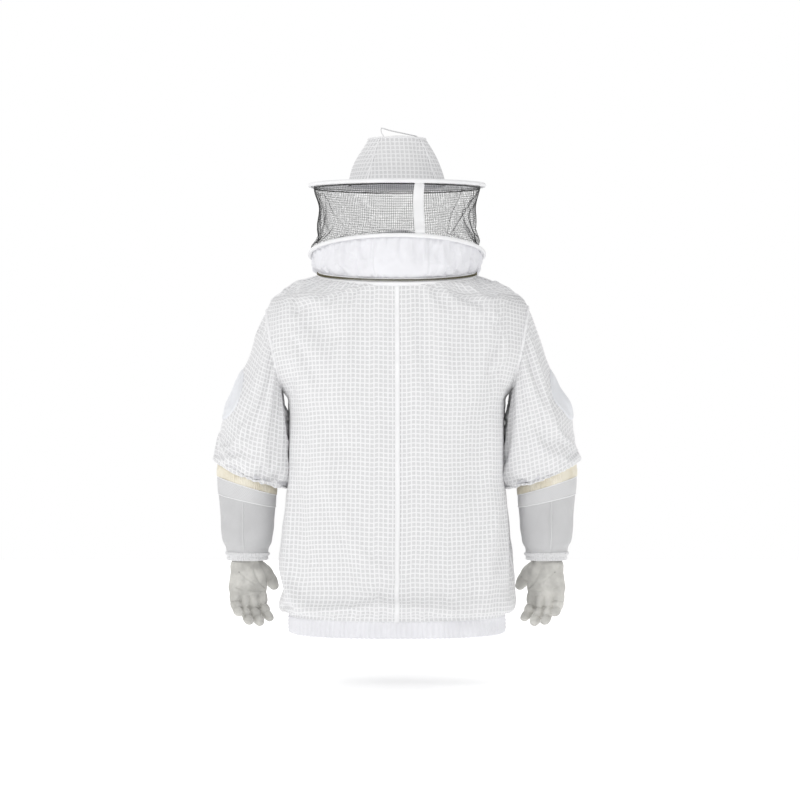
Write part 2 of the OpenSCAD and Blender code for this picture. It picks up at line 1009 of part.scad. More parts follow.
// Leather hand, hollow and open at the wrist
module glove_hand() {
    color(leather_white)
        translate([wrist_x, 0, wrist_z])
        rotate([0, 0, hand_turn])
        difference() {
            hand_form(0);
            hand_form(leather_wall);
            translate([-60, -60, -0.6]) cube([120, 120, 60]);
        }
}

module glove_cuff_left() {
    glove_cuff();
}

module glove_cuff_right() {
    on_right() glove_cuff();
}

module glove_mesh_band_left() {
    glove_mesh_band();
}

module glove_mesh_band_right() {
    on_right() glove_mesh_band();
}

module gauntlet_left() {
    gauntlet();
}

module gauntlet_right() {
    on_right() gauntlet();
}

module wrist_elastic_left() {
    wrist_elastic();
}

module wrist_elastic_right() {
    on_right() wrist_elastic();
}

module glove_hand_left() {
    glove_hand();
}

module glove_hand_right() {
    on_right() glove_hand();
}

// ---------------------------------------------------------------- drawing

back_panel_left();
back_panel_right();
front_panel_left();
front_panel_right();
centre_back_seam();
neck_yoke();
collar();
hem_band();
hem_elastic();
front_placket();
front_zip_tapes();
front_zip_coils();
front_zip_stops();
front_zip_slider();
front_zip_pull();
chest_pocket();
chest_pocket_flap();
hip_pockets();
neck_flap();
neck_zip_lower_tape();
neck_zip_lower_coil();
neck_zip_upper_tape();
neck_zip_upper_coil();
neck_slider_left();
neck_slider_right();
sleeve_head_left();
sleeve_head_right();
upper_sleeve_left();
upper_sleeve_right();
elbow_fold_left();
elbow_fold_right();
lower_sleeve_left();
lower_sleeve_right();
elbow_patch_left();
elbow_patch_right();
sleeve_cuff_left();
sleeve_cuff_right();
veil_skirt();
lower_hoop_wire();
lower_hoop_casing();
netting();
net_back_tape();
brim();
brim_wire();
brim_binding();
crown();
crown_top();
crown_loop();
sweatband();
glove_cuff_left();
glove_cuff_right();
glove_mesh_band_left();
glove_mesh_band_right();
gauntlet_left();
gauntlet_right();
wrist_elastic_left();
wrist_elastic_right();
glove_hand_left();
glove_hand_right();
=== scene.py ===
import math

import bmesh
import bpy
import numpy as np
from mathutils import Matrix, Vector, noise
from mathutils.bvhtree import BVHTree


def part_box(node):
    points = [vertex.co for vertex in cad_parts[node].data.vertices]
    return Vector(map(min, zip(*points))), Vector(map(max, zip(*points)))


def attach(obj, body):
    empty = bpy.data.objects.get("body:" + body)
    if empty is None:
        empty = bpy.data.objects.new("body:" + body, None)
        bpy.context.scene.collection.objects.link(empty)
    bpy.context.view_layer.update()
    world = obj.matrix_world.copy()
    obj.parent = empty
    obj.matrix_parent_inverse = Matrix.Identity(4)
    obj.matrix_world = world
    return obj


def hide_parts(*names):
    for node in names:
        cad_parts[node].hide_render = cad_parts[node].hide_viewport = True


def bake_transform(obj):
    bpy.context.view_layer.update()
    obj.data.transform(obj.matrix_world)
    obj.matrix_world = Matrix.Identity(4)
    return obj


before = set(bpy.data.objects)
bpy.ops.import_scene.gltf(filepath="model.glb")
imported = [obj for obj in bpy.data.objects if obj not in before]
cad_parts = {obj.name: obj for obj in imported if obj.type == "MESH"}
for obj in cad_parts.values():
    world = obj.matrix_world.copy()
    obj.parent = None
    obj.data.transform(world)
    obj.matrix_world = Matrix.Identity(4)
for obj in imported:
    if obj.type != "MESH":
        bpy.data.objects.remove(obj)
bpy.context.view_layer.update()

# Lengths below are in millimetres, and MM turns them into the scene's metres.
MM = 0.001
PITCH = 9.0            # one cell of the padded waffle mesh
CELL_DEPTH = 1.3       # how deep a cell sinks between the raised lines
PUCKER_LENGTH = 7      # one pucker of a sewn-in cord
SIDES = (("left", 1), ("right", -1))


# ------------------------------------------------------------------ grids of points


def spline(rows, s):
    """Smooth curve through rows, at row numbers s that may lie between rows."""
    rows = np.asarray(rows, float)
    s = np.clip(np.asarray(s, float), 0, len(rows) - 1)
    i = np.minimum(s.astype(int), len(rows) - 2)
    k = (s - i).reshape(s.shape + (1,) * (rows.ndim - 1))
    p0, p1, p2, p3 = (rows[np.clip(i + d, 0, len(rows) - 1)] for d in (-1, 0, 1, 2))
    return 0.5 * (2 * p1 + (p2 - p0) * k + (2 * p0 - 5 * p1 + 4 * p2 - p3) * k**2
                  + (3 * p1 - p0 - 3 * p2 + p3) * k**3)


def wrap(grid):
    """A closed grid with a few of its columns repeated at each end."""
    return np.concatenate([grid[:, -2:], grid, grid[:, :3]], axis=1)


def refine(grid, v, u, closed=False):
    """Every crossing of the rows v and the columns u of a grid, smoothly in between."""
    if closed:
        grid, u = wrap(grid), np.asarray(u) + 2
    rows = spline(grid, v)
    return np.swapaxes(spline(np.swapaxes(rows, 0, 1), u), 0, 1)


def curve_weights(s, count):
    """The four rows that a smooth curve uses at s, and their shares."""
    s = np.clip(s, 0, count - 1)
    i = np.minimum(s.astype(int), count - 2)
    k = s - i
    shares = 0.5 * np.stack([-k + 2 * k**2 - k**3, 2 - 5 * k**2 + 3 * k**3, k + 4 * k**2 - 3 * k**3,
                             k**3 - k**2])
    return [np.clip(i + d, 0, count - 1) for d in (-1, 0, 1, 2)], shares


def sample(grid, v, u, closed):
    """The grid at single places: v and u hold one number for each point."""
    v, u = np.broadcast_arrays(np.asarray(v, float), np.asarray(u, float))
    if closed:
        grid, u = wrap(grid), u % grid.shape[1] + 2
    rows, row_shares = curve_weights(v, grid.shape[0])
    cols, col_shares = curve_weights(u, grid.shape[1])
    return sum(grid[rows[a], cols[b]] * (row_shares[a] * col_shares[b])[..., None]
               for a in range(4) for b in range(4))


def normals(points, closed, flip=False):
    if closed:
        across = np.roll(points, -1, axis=1) - np.roll(points, 1, axis=1)
    else:
        across = np.gradient(points, axis=1)
    n = unit(np.cross(across, np.gradient(points, axis=0)))
    return -n if flip else n


def unit(vectors):
    return vectors / np.maximum(np.linalg.norm(vectors, axis=-1, keepdims=True), 1e-9)


def lengths(points, axis=0):
    """Distance run along a grid's lines up to each of their points."""
    steps = np.linalg.norm(np.diff(points, axis=axis), axis=-1)
    first = np.zeros_like(np.take(steps, [0], axis=axis))
    return np.cumsum(np.concatenate([first, steps], axis=axis), axis=axis)


def read_at(values, where, wanted):
    """Each column of values, known at the places where, read at the places wanted."""
    return np.stack([np.interp(wanted, where, column) for column in values.T], -1)


def around_to(end, count):
    """Even steps round a closed line, from 0 up to the end but without it."""
    return np.linspace(0, end, count, endpoint=False)


def turns(count):
    return np.arange(count) / count * 2 * math.pi


def tilted(points, z, tilt):
    """Points turned about the X axis and then raised by z."""
    c, s = math.cos(tilt), math.sin(tilt)
    x, y, up = np.moveaxis(np.asarray(points, float), -1, 0)
    return np.stack([x, y * c - up * s, z + y * s + up * c], -1)


def points_of(x, y, z):
    return np.stack(np.broadcast_arrays(x, y, z), -1)


def polar(r, angle, z):
    return points_of(r * np.cos(angle), r * np.sin(angle), z + 0 * r * angle)


def smoothstep(a, b, x):
    k = np.clip((np.asarray(x, float) - a) / (b - a), 0, 1)
    return k * k * (3 - 2 * k)


def ripple(x, seed, waves, spread=0.45):
    """A repeatable sum of sines of x whose wavelengths differ, for folds and puckers."""
    rng = np.random.default_rng(seed)
    total = np.zeros_like(np.asarray(x, float))
    for _ in range(waves):
        total += np.sin(x * (1 + spread * rng.uniform(-1, 1)) + rng.uniform(0, 2 * math.pi))
    return total / waves


def noise_at(points, scale, seed):
    """Smooth noise at points in millimetres; scale is the size of its lumps."""
    flat = np.reshape(points, (-1, 3)) / scale + seed
    return np.array([noise.noise(Vector(p)) for p in flat]).reshape(np.shape(points)[:-1])


class Sheet:
    """A smooth grid of points together with its outward normals."""

    def __init__(self, grid, closed=False, flip=False):
        self.grid = grid
        self.closed = closed
        self.normal = normals(grid, closed, flip)

    def out(self, v, u):
        return unit(sample(self.normal, v, u, self.closed))

    def at(self, v, u, lift=0.0):
        return sample(self.grid, v, u, self.closed) + self.out(v, u) * np.asarray(lift, float)[..., None]

    def column(self, v, u):
        """Width of one column of the grid at a place."""
        return np.linalg.norm(self.at(v, u + 0.5) - self.at(v, u - 0.5), axis=-1)


# ------------------------------------------------------------------ meshes


def new_object(name, vertices, faces, material):
    mesh = bpy.data.meshes.new(name)
    mesh.from_pydata((np.reshape(vertices, (-1, 3)) * MM).tolist(), [], faces)
    mesh.polygons.foreach_set("use_smooth", [True] * len(mesh.polygons))
    mesh.materials.append(material)
    mesh.update()
    obj = bpy.data.objects.new(name, mesh)
    bpy.context.scene.collection.objects.link(obj)
    return obj


def grid_faces(rows, cols, closed, flip=False, closed_rows=False):
    index = np.arange(rows * cols).reshape(rows, cols)
    if closed:
        index = np.concatenate([index, index[:, :1]], axis=1)
    if closed_rows:
        index = np.concatenate([index, index[:1]], axis=0)
    quads = np.stack([index[:-1, :-1], index[:-1, 1:], index[1:, 1:], index[1:, :-1]], axis=-1)
    quads = quads.reshape(-1, 4)
    return (quads[:, ::-1] if flip else quads).tolist()


def grid_object(name, points, material, closed=False, flip=False, uv=None, closed_rows=False):
    """A mesh over a grid of points; uv holds the waffle's own cell numbers for each column and row."""
    rows, cols = points.shape[:2]
    obj = new_object(name, points, grid_faces(rows, cols, closed, flip, closed_rows), material)
    if uv is not None:
        u, v = uv
        if closed:
            u = np.append(u, u[-1] + u[1] - u[0])
        pair = np.stack(np.meshgrid(u, v), axis=-1)
        corners = np.stack([pair[:-1, :-1], pair[:-1, 1:], pair[1:, 1:], pair[1:, :-1]], axis=2)
        corners = corners.reshape(-1, 4, 2)
        if flip:
            corners = corners[:, ::-1]
        layer = obj.data.uv_layers.new(name="cells")
        layer.data.foreach_set("uv", corners.ravel())
    return obj


def ride(obj, body, slot, *nodes):
    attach(obj, body)
    finish_piece(slot, nodes)
    return obj


def finish_piece(slot, nodes):
    if nodes:
        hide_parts(*nodes)


def blend_by(obj, a, b, weight, slot, *nodes):
    """Bakes obj's transform into its mesh and hides the CAD parts nodes; obj is not blended, and its weights,
    one for each vertex, are not used.
    Without weights, the mesh's own attribute "share" holds them, and it is removed. Bodies a and b are not
    used."""
    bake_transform(obj)
    if weight is None:
        weight = np.zeros(len(obj.data.vertices), np.float32)
        obj.data.attributes["share"].data.foreach_get("value", weight)
        obj.data.attributes.remove(obj.data.attributes["share"])
    finish_piece(slot, nodes)
    return obj


def cell_lines(cells, closed=False):
    """Places of the waffle's mesh lines, counted in cells: three to a cell, the first on a raised line."""
    return np.arange(cells * 3 + (0 if closed else 1)) / 3


def face_any(mask, closed):
    """For each face of a grid, whether the mask holds at any of its corners."""
    if closed:
        mask = np.concatenate([mask, mask[:, :1]], axis=1)
    return mask[:-1, :-1] | mask[:-1, 1:] | mask[1:, :-1] | mask[1:, 1:]


def keep_faces(obj, keep):
    """Deletes the faces of obj that keep leaves out, with the points only they used."""
    mesh = bmesh.new()
    mesh.from_mesh(obj.data)
    bmesh.ops.delete(mesh, geom=[f for f, kept in zip(mesh.faces, np.ravel(keep)) if not kept],
                     context="FACES")
    mesh.to_mesh(obj.data)
    mesh.free()


def waffle(name, sheet, v, u, k_v, k_u, material, flip, keep=None, share=None, closed=None):
    """Waffle mesh over the places (v, u) of a sheet: narrow raised lines around sunken squares.
    k_v and k_u count cells along rows and columns; keep picks faces; share is a point's blend weight."""
    closed = sheet.closed if closed is None else closed
    sunk = np.outer(np.arange(len(k_v)) % 3 > 0, np.arange(len(k_u)) % 3 > 0) * -CELL_DEPTH
    points = sheet.at(v, u, sunk)
    obj = grid_object(name, points, material, closed, flip, (k_u, k_v))
    if share is not None:
        values = np.ravel(share).astype(np.float32)
        obj.data.attributes.new("share", "FLOAT", "POINT").data.foreach_set("value", values)
    if keep is not None:
        keep_faces(obj, keep)
    return obj


def waffle_all(name, sheet, cells, material):
    """Waffle over the whole of a small open sheet."""
    k_v, k_u = (cell_lines(count) for count in cells)
    rows, cols = sheet.grid.shape[0] - 1, sheet.grid.shape[1] - 1
    v, u = np.meshgrid(k_v / cells[0] * rows, k_u / cells[1] * cols, indexing="ij")
    return waffle(name, sheet, v, u, k_v, k_u, material, flip=False)


def tube_along(path, radius, sides, closed):
    """Grid of points around a path, for piping and wires."""
    path = np.asarray(path, float)
    if closed:
        ahead = np.roll(path, -1, axis=0) - np.roll(path, 1, axis=0)
    else:
        ahead = np.gradient(path, axis=0)
    ahead = unit(ahead)
    side = unit(np.cross(ahead, [0.0, 0.0, 1.0]))
    up = np.cross(side, ahead)
    a = turns(sides)
    radius = np.broadcast_to(np.asarray(radius, float), (len(path),))
    ring = side[:, None] * np.cos(a)[None, :, None] + up[:, None] * np.sin(a)[None, :, None]
    return path[:, None] + ring * radius[:, None, None]


def piping(name, path, radius, material, seed=1, pucker=0.05, sides=10, closed=True):
    """A corded edge with the small puckers that its stitches pull in."""
    length = np.linalg.norm(np.diff(path, axis=0), axis=1).sum()
    phase = around_to(2 * math.pi * round(length / PUCKER_LENGTH), len(path))
    wobble = 1 + pucker * ripple(phase, seed, 3, 0.15)
    points = tube_along(path, radius * wobble, sides, closed)
    return grid_object(name, np.swapaxes(points, 0, 1), material, closed, closed_rows=True)


def stitches(name, paths, material, lift=0.35, pitch=3.6, length=2.5, thick=0.32):
    """Rows of thread: paths is a list of (points, outward normals)."""
    vertices, faces = [], []
    for points, outward in paths:
        along = lengths(points)
        for centre in np.arange(pitch / 2, along[-1], pitch):
            ends = read_at(points, along, centre + np.array([-length / 2, length / 2]))
            n = unit(read_at(outward, along, centre))
            side = unit(np.cross(ends[1] - ends[0], n))
            middle = (ends[0] + ends[1]) / 2 + n * lift
            base = len(vertices)
            vertices += [ends[0], middle + side * thick, middle + n * thick, middle - side * thick,
                         middle - n * thick, ends[1]]
            for i in range(4):
                j = (i + 1) % 4
                faces += [(base, base + 1 + i, base + 1 + j), (base + 5, base + 1 + j, base + 1 + i)]
    return new_object(name, np.array(vertices), faces, material)


TAPE_ACROSS = np.array([-1.0, -0.97, -0.8, -0.4, 0, 0.4, 0.8, 0.97, 1.0])
TAPE_LIFT = np.array([-0.6, 0.55, 0.9, 1, 1, 1, 0.9, 0.55, -0.6])


def tape_on(name, sheet, v, u, half, lift, material, pucker):
    """A tape sewn along the line (v, u) of a sheet, with its edges turned down onto the cloth."""
    u = u + 0 * v
    reach = half / sheet.column(v, u)
    wave = 1 + pucker * ripple(np.arange(len(v)) * 0.9, 1, 4, 0.3)
    rows = sheet.at(v[:, None], u[:, None] + TAPE_ACROSS * reach[:, None], TAPE_LIFT * lift * wave[:, None])
    return grid_object(name, rows, material)


def line_on(sheet, v, u, across=0.0, lift=0.0):
    """A path on a sheet, moved sideways by a distance, with the normals along it."""
    v, u = np.broadcast_arrays(np.asarray(v, float), np.asarray(u, float))
    if across:
        u = u + across / sheet.column(v, u)
    return sheet.at(v, u, lift), sheet.out(v, u)


def thicken(obj, thickness, offset=-1.0):
    solid = obj.modifiers.new("thickness", "SOLIDIFY")
    solid.thickness = thickness * MM
    solid.offset = offset
    return obj


CLOTH_TENSION = 12.0


def drape(grid, pinned, slack, frames, gravity, bending):
    """Cloth simulation of a closed grid: pinned points stay, and slack is the extra cloth between them."""
    material = bpy.data.materials.new("drape")
    obj = grid_object("drape", grid, material, closed=True)
    group = obj.vertex_groups.new(name="pin")
    flat = np.ravel(pinned)
    for weight in np.unique(flat):
        if weight > 0:
            group.add(np.nonzero(flat == weight)[0].tolist(), float(weight), "REPLACE")
    cloth = obj.modifiers.new("cloth", "CLOTH")
    settings = cloth.settings
    settings.quality = 6
    settings.mass = 0.12
    settings.air_damping = 2.0
    settings.tension_stiffness = CLOTH_TENSION
    settings.compression_stiffness = CLOTH_TENSION
    settings.shear_stiffness = CLOTH_TENSION * 0.4
    settings.bending_stiffness = bending
    settings.vertex_group_mass = "pin"
    settings.shrink_min = -slack
    settings.effector_weights.gravity = gravity
    cloth.collision_settings.use_collision = False
    cloth.collision_settings.use_self_collision = False
    cloth.point_cache.frame_start = 1
    cloth.point_cache.frame_end = frames
    for number in range(1, frames + 1):
        bpy.context.scene.frame_set(number)
    mesh = obj.evaluated_get(bpy.context.evaluated_depsgraph_get()).to_mesh()
    out = np.zeros(len(mesh.vertices) * 3, np.float32)
    mesh.vertices.foreach_get("co", out)
    bpy.data.objects.remove(obj)
    bpy.data.materials.remove(material)
    bpy.context.scene.frame_set(1)
    return out.reshape(grid.shape).astype(float) / MM


# ------------------------------------------------------------------ materials


class Shader:
    """Short way to build a node tree around one Principled surface."""

    def __init__(self, name, roughness=0.8, sheen=0.0):
        self.material = bpy.data.materials.new(name)
        self.material.use_nodes = True
        self.tree = self.material.node_tree
        self.surface = self.tree.nodes["Principled BSDF"]
        self.surface.inputs["Roughness"].default_value = roughness
        self.surface.inputs["Sheen Weight"].default_value = sheen
        self.surface.inputs["Sheen Roughness"].default_value = 0.6
        self.surface.inputs["Specular IOR Level"].default_value = 0.25

    def link(self, value, socket):
        if isinstance(value, bpy.types.NodeSocket):
            self.tree.links.new(value, socket)
        else:
            socket.default_value = value

    def math(self, operation, a, b=0.0, c=0.0):
        node = self.tree.nodes.new("ShaderNodeMath")
        node.operation = operation
        for value, socket in zip((a, b, c), node.inputs):
            self.link(value, socket)
        return node.outputs[0]

    def ramp(self, value, low, high, to_low=0.0, to_high=1.0):
        node = self.tree.nodes.new("ShaderNodeMapRange")
        node.interpolation_type = "SMOOTHSTEP"
        for item, socket in zip((value, low, high, to_low, to_high), node.inputs):
            self.link(item, socket)
        return node.outputs[0]

    def mix(self, factor, a, b):
        node = self.tree.nodes.new("ShaderNodeMix")
        node.data_type = "RGBA"
        self.link(factor, node.inputs[0])
        self.link(a, node.inputs[6])
        self.link(b, node.inputs[7])
        return node.outputs[2]

    def noise(self, scale, detail=3.0):
        node = self.tree.nodes.new("ShaderNodeTexNoise")
        node.inputs["Scale"].default_value = scale
        node.inputs["Detail"].default_value = detail
        self.link(self.place(), node.inputs["Vector"])
        return node.outputs["Fac"]

    def cells(self, scale, feature="F1"):
        node = self.tree.nodes.new("ShaderNodeTexVoronoi")
        node.feature = feature
        node.inputs["Scale"].default_value = scale
        self.link(self.place(), node.inputs["Vector"])
        return node.outputs["Distance"]

    def place(self):
        return self.tree.nodes.new("ShaderNodeTexCoord").outputs["Object"]

    def weave(self, scale):
        """Crossed threads, scale threads to the metre."""
        split = self.tree.nodes.new("ShaderNodeSeparateXYZ")
        self.link(self.place(), split.inputs[0])
        x_and_y = self.math("ADD", split.outputs[0], split.outputs[1])
        across = self.math("SINE", self.math("MULTIPLY", x_and_y, scale))
        along = self.math("SINE", self.math("MULTIPLY", split.outputs[2], scale))
        return self.math("MULTIPLY", across, along)

    def cell_numbers(self):
        """The cell numbers of each place, across and along."""
        uv = self.tree.nodes.new("ShaderNodeUVMap")
        uv.uv_map = "cells"
        split = self.tree.nodes.new("ShaderNodeSeparateXYZ")
        self.link(uv.outputs[0], split.inputs[0])
        return split.outputs[0], split.outputs[1]

    def from_middle(self, number):
        """How far each place lies from its cell's middle in one direction, with a sign."""
        return self.math("SUBTRACT", self.math("FRACT", number), 0.5)

    def colour(self, value):
        self.link(value, self.surface.inputs["Base Color"])

    def bump(self, height, strength, distance=0.0004):
        node = self.tree.nodes.new("ShaderNodeBump")
        node.inputs["Strength"].default_value = strength
        node.inputs["Distance"].default_value = distance
        self.link(height, node.inputs["Height"])
        self.link(node.outputs[0], self.surface.inputs["Normal"])


def grey(value, tint=(1.0, 1.0, 1.0)):
    return tuple(value * t for t in tint) + (1.0,)


COOL = (0.99, 0.99, 1.0)
LAVENDER = (0.965, 0.965, 1.0)
CREAM = (1.0, 0.93, 0.76)


def waffle_material():
    s = Shader("waffle_mesh", roughness=0.85, sheen=0.15)
    across, along = (s.math("ABSOLUTE", s.from_middle(number)) for number in s.cell_numbers())
    square = s.ramp(s.math("MAXIMUM", across, along), 0.42, 0.30)
    fine = s.weave(5200.0)
    # The sunken cells are painted greyer than the raised lines: this grey is painted shade in the cells.
    cell = s.mix(s.ramp(fine, -0.4, 0.6), grey(0.66, COOL), grey(0.78, COOL))
    line = s.mix(s.noise(60.0), grey(0.86, COOL), grey(0.92, COOL))
    s.colour(s.mix(square, line, cell))
    s.bump(s.math("ADD", s.math("MULTIPLY", fine, 0.25), s.math("MULTIPLY", square, -1.0)), 0.35, 0.0006)
    return s.material


def cotton_material(name, value, tint, threads=4200.0):
    s = Shader(name, roughness=0.75, sheen=0.2)
    weave = s.weave(threads)
    soft = s.noise(18.0, 4.0)
    s.colour(s.mix(s.ramp(soft, 0.35, 0.65), grey(value * 0.95, tint), grey(value, tint)))
    s.bump(s.math("ADD", s.math("MULTIPLY", weave, 0.3), soft), 0.25, 0.0005)
    return s.material


def thread_material():
    s = Shader("thread", roughness=0.6)
    s.colour(s.mix(s.noise(900.0), grey(0.74), grey(0.86)))
    return s.material


def coil_material():
    s = Shader("zip_coil", roughness=0.4)
    s.surface.inputs["Specular IOR Level"].default_value = 0.5
    s.colour(s.mix(s.noise(700.0), (0.085, 0.075, 0.035, 1), (0.17, 0.15, 0.075, 1)))
    s.bump(s.noise(1500.0), 0.2)
    return s.material


def metal_material(name, value, roughness):
    s = Shader(name, roughness)
    s.surface.inputs["Metallic"].default_value = 1.0
    s.colour(s.mix(s.noise(250.0), grey(value * 0.8), grey(value, (1, 0.99, 0.95))))
    s.link(s.ramp(s.noise(400.0), 0.3, 0.7, roughness * 0.7, roughness * 1.3), s.surface.inputs["Roughness"])
    return s.material


def net_material():
    s = Shader("black_net", roughness=0.55, sheen=0.1)
    s.colour(s.mix(s.noise(300.0), grey(0.012), grey(0.035)))
    return s.material


def elastic_material():
    s = Shader("cream_elastic", roughness=0.8, sheen=0.25)
    s.colour(s.mix(s.ramp(s.noise(35.0), 0.35, 0.65), grey(0.80, CREAM), grey(0.90, (1, 0.95, 0.82))))
    s.bump(s.weave(3600.0), 0.4, 0.0005)
    return s.material


HOLE_SIZE = 0.24        # radius of a hole, where its cell is 1 wide


def spacer_material(name, hole, thread):
    """Perforated mesh: staggered rows of round holes, one for each unit of the cell numbers."""
    s = Shader(name, roughness=0.8, sheen=0.2)
    across, along = s.cell_numbers()
    across = s.math("ADD", across, s.math("MULTIPLY", s.math("FLOOR", along), 0.5))
    dx, dy = (s.from_middle(number) for number in (across, along))
    far = s.math("SQRT", s.math("ADD", s.math("MULTIPLY", dx, dx), s.math("MULTIPLY", dy, dy)))
    shade = s.ramp(far, HOLE_SIZE - 0.08, HOLE_SIZE + 0.08)
    tone = s.ramp(s.noise(22.0, 4.0), 0.3, 0.7)
    s.colour(s.mix(shade, grey(hole, COOL), s.mix(tone, grey(thread * 0.93, COOL), grey(thread, COOL))))
    s.bump(shade, 0.4, 0.0006)
    return s.material


def fine_mesh_material(name, hole, thread, holes_per_m):
    """The same mesh where it is gathered, with small uneven holes."""
    s = Shader(name, roughness=0.8, sheen=0.2)
    shade = s.ramp(s.cells(holes_per_m), 0.12, 0.42)
    s.colour(s.mix(shade, grey(hole, COOL), grey(thread, COOL)))
    s.bump(shade, 0.35, 0.0005)
    return s.material


def leather_material():
    s = Shader("glove_leather", roughness=0.55, sheen=0.05)
    grain = s.cells(700.0, "DISTANCE_TO_EDGE")
    creases = s.noise(90.0, 6.0)
    stain = s.ramp(s.noise(28.0, 5.0), 0.35, 0.7)
    warm = (1.0, 0.985, 0.93)
    s.colour(s.mix(stain, grey(0.50, warm), grey(0.68, warm)))
    s.link(s.ramp(creases, 0.3, 0.7, 0.45, 0.7), s.surface.inputs["Roughness"])
    s.bump(s.math("ADD", s.math("MULTIPLY", grain, 0.5), creases), 0.35, 0.0006)
    return s.material


MESH = waffle_material()
COTTON = cotton_material("white_cotton", 0.88, LAVENDER)
BINDING = cotton_material("white_binding", 0.92, COOL, 3000.0)
PATCH = cotton_material("patch_cotton", 0.86, (0.95, 0.965, 1.0))
THREAD = thread_material()
COIL = coil_material()
ZIP_METAL = metal_material("zip_metal", 0.62, 0.32)
WIRE = metal_material("spring_wire", 0.7, 0.25)
NET = net_material()
ELASTIC = elastic_material()
PERFORATED = spacer_material("perforated_band", 0.46, 0.70)
PERFORATED_FINE = fine_mesh_material("perforated_gathers", 0.50, 0.76, 420.0)
SPACER = spacer_material("spacer_mesh", 0.40, 0.62)
SEAM_THREAD = cotton_material("seam_thread", 0.66, (1, 0.99, 0.94))
DARK_THREAD = cotton_material("dark_thread", 0.05, (1, 1, 1))
LEATHER = leather_material()

# ------------------------------------------------------------------ sewing


def cloth(name, points, material, home, slot, *nodes, thick=None, offset=-1.0, **form):
    """A piece over a grid of points, thickened if asked, that rides on one body."""
    piece = grid_object(name, np.asarray(points), material, **form)
    if thick:
        thicken(piece, thick, offset)
    ride(piece, home, slot, *nodes)


def sew(name, lines, home, slot="cotton", thread=THREAD, **form):
    ride(stitches(name, lines, thread, **form), home, slot)


def cord(name, path, radius, home, slot="cotton", nodes=(), material=BINDING, **form):
    ride(piping(name, path, radius, material, **form), home, slot, *nodes)


def bind(name, sheet, v, u, half, lift, home, slot="cotton", nodes=(), material=BINDING, pucker=0.2):
    ride(tape_on(name, sheet, v, u, half, lift, material, pucker), home, slot, *nodes)


# ------------------------------------------------------------------ jacket shape

HEM_TOP = 36
NECK_EDGE_Z = 711
FRONT = 146
BACK = 150
# Jacket rings: side z, back z, front z, half width, back depth, front depth, squareness
TORSO = np.array([
    [34, 34, 34, 214, BACK - 4, FRONT - 3, 2.5],
    [44, 44, 44, 220, BACK - 1, FRONT - 1, 2.5],
    [64, 64, 64, 224, BACK, FRONT, 2.5],
    [150, 150, 150, 225, BACK + 1, FRONT, 2.5],
    [215, 215, 215, 220, BACK, FRONT, 2.5],
    [270, 270, 270, 211, BACK, FRONT, 2.5],
    [330, 330, 330, 202, BACK - 1, FRONT, 2.5],
    [400, 400, 400, 200, BACK - 2, FRONT, 2.5],
    [442, 442, 442, 206, BACK - 2, FRONT, 2.5],
    [480, 480, 480, 227, BACK - 2, FRONT, 2.5],
    [510, 508, 506, 246, BACK - 1, FRONT, 2.5],
    [560, 552, 540, 268, BACK, FRONT, 2.5],
    [604, 588, 566, 268, BACK + 1, FRONT, 2.5],
    [640, 614, 586, 262, BACK + 2, FRONT, 2.5],
    [662, 640, 602, 252, BACK + 3, FRONT - 2, 2.4],
    [675, 660, 614, 236, BACK + 4, FRONT - 3, 2.3],
    [696, 677, 628, 198, BACK + 5, FRONT - 6, 2.2],
    [NECK_EDGE_Z, 688, 638.2, 155, 153.3, 136.9, 2.0],
])
TORSO_ROWS = 72
HALF_COLS = 64          # columns over the back, and again over the front
FRONT_ZIP_GAP = 10      # bare half width at the front zip
FLAP_MARGIN = 22        # cloth held still around each flap
ZIP_HELD = 16           # half width held still at the front zip
ARMHOLE = ((244, 559), (40, 97))     # its middle and half size, across and up
DRAPE_LIMIT = 9         # how far the jacket's cloth may settle
ARMHOLE_LOW = 441
ARMHOLE_HIGH = 668


def signed_power(v, n):
    return np.sign(v) * np.abs(v) ** (2 / n)


def torso_ring(ring, angles):
    """Points on one jacket ring: 0 degrees is the wearer's left and 90 is the back."""
    c, s = np.cos(angles), np.sin(angles)
    side_z, back_z, front_z, width, back, front, square = ring
    share = np.abs(signed_power(s, square))
    z = side_z + (np.where(s > 0, back_z, front_z) - side_z) * share
    return np.stack([width * signed_power(c, square), np.where(s > 0, back, front) * signed_power(s, square),
                     z], -1)


def even_points(path, count):
    """The same closed path with its points spaced evenly along it, the last left out."""
    along = lengths(path)
    return read_at(path, along, np.linspace(0, along[-1], count + 1)[:-1])


def torso_grid():
    """The jacket's smooth body, rows from hem to neck and columns round from the left side."""
    dense = spline(TORSO, np.linspace(0, len(TORSO) - 1, 400))
    height = np.concatenate([[0], np.cumsum(np.hypot(np.diff(dense[:, 0]), np.diff(dense[:, 3])))])
    rings = read_at(dense, height, np.linspace(0, height[-1], TORSO_ROWS))
    rows = []
    for ring in rings:
        halves = [even_points(torso_ring(ring, np.linspace(a, a + math.pi, 361)), HALF_COLS)
                  for a in (0, math.pi)]
        rows.append(np.concatenate(halves))
    return np.array(rows)


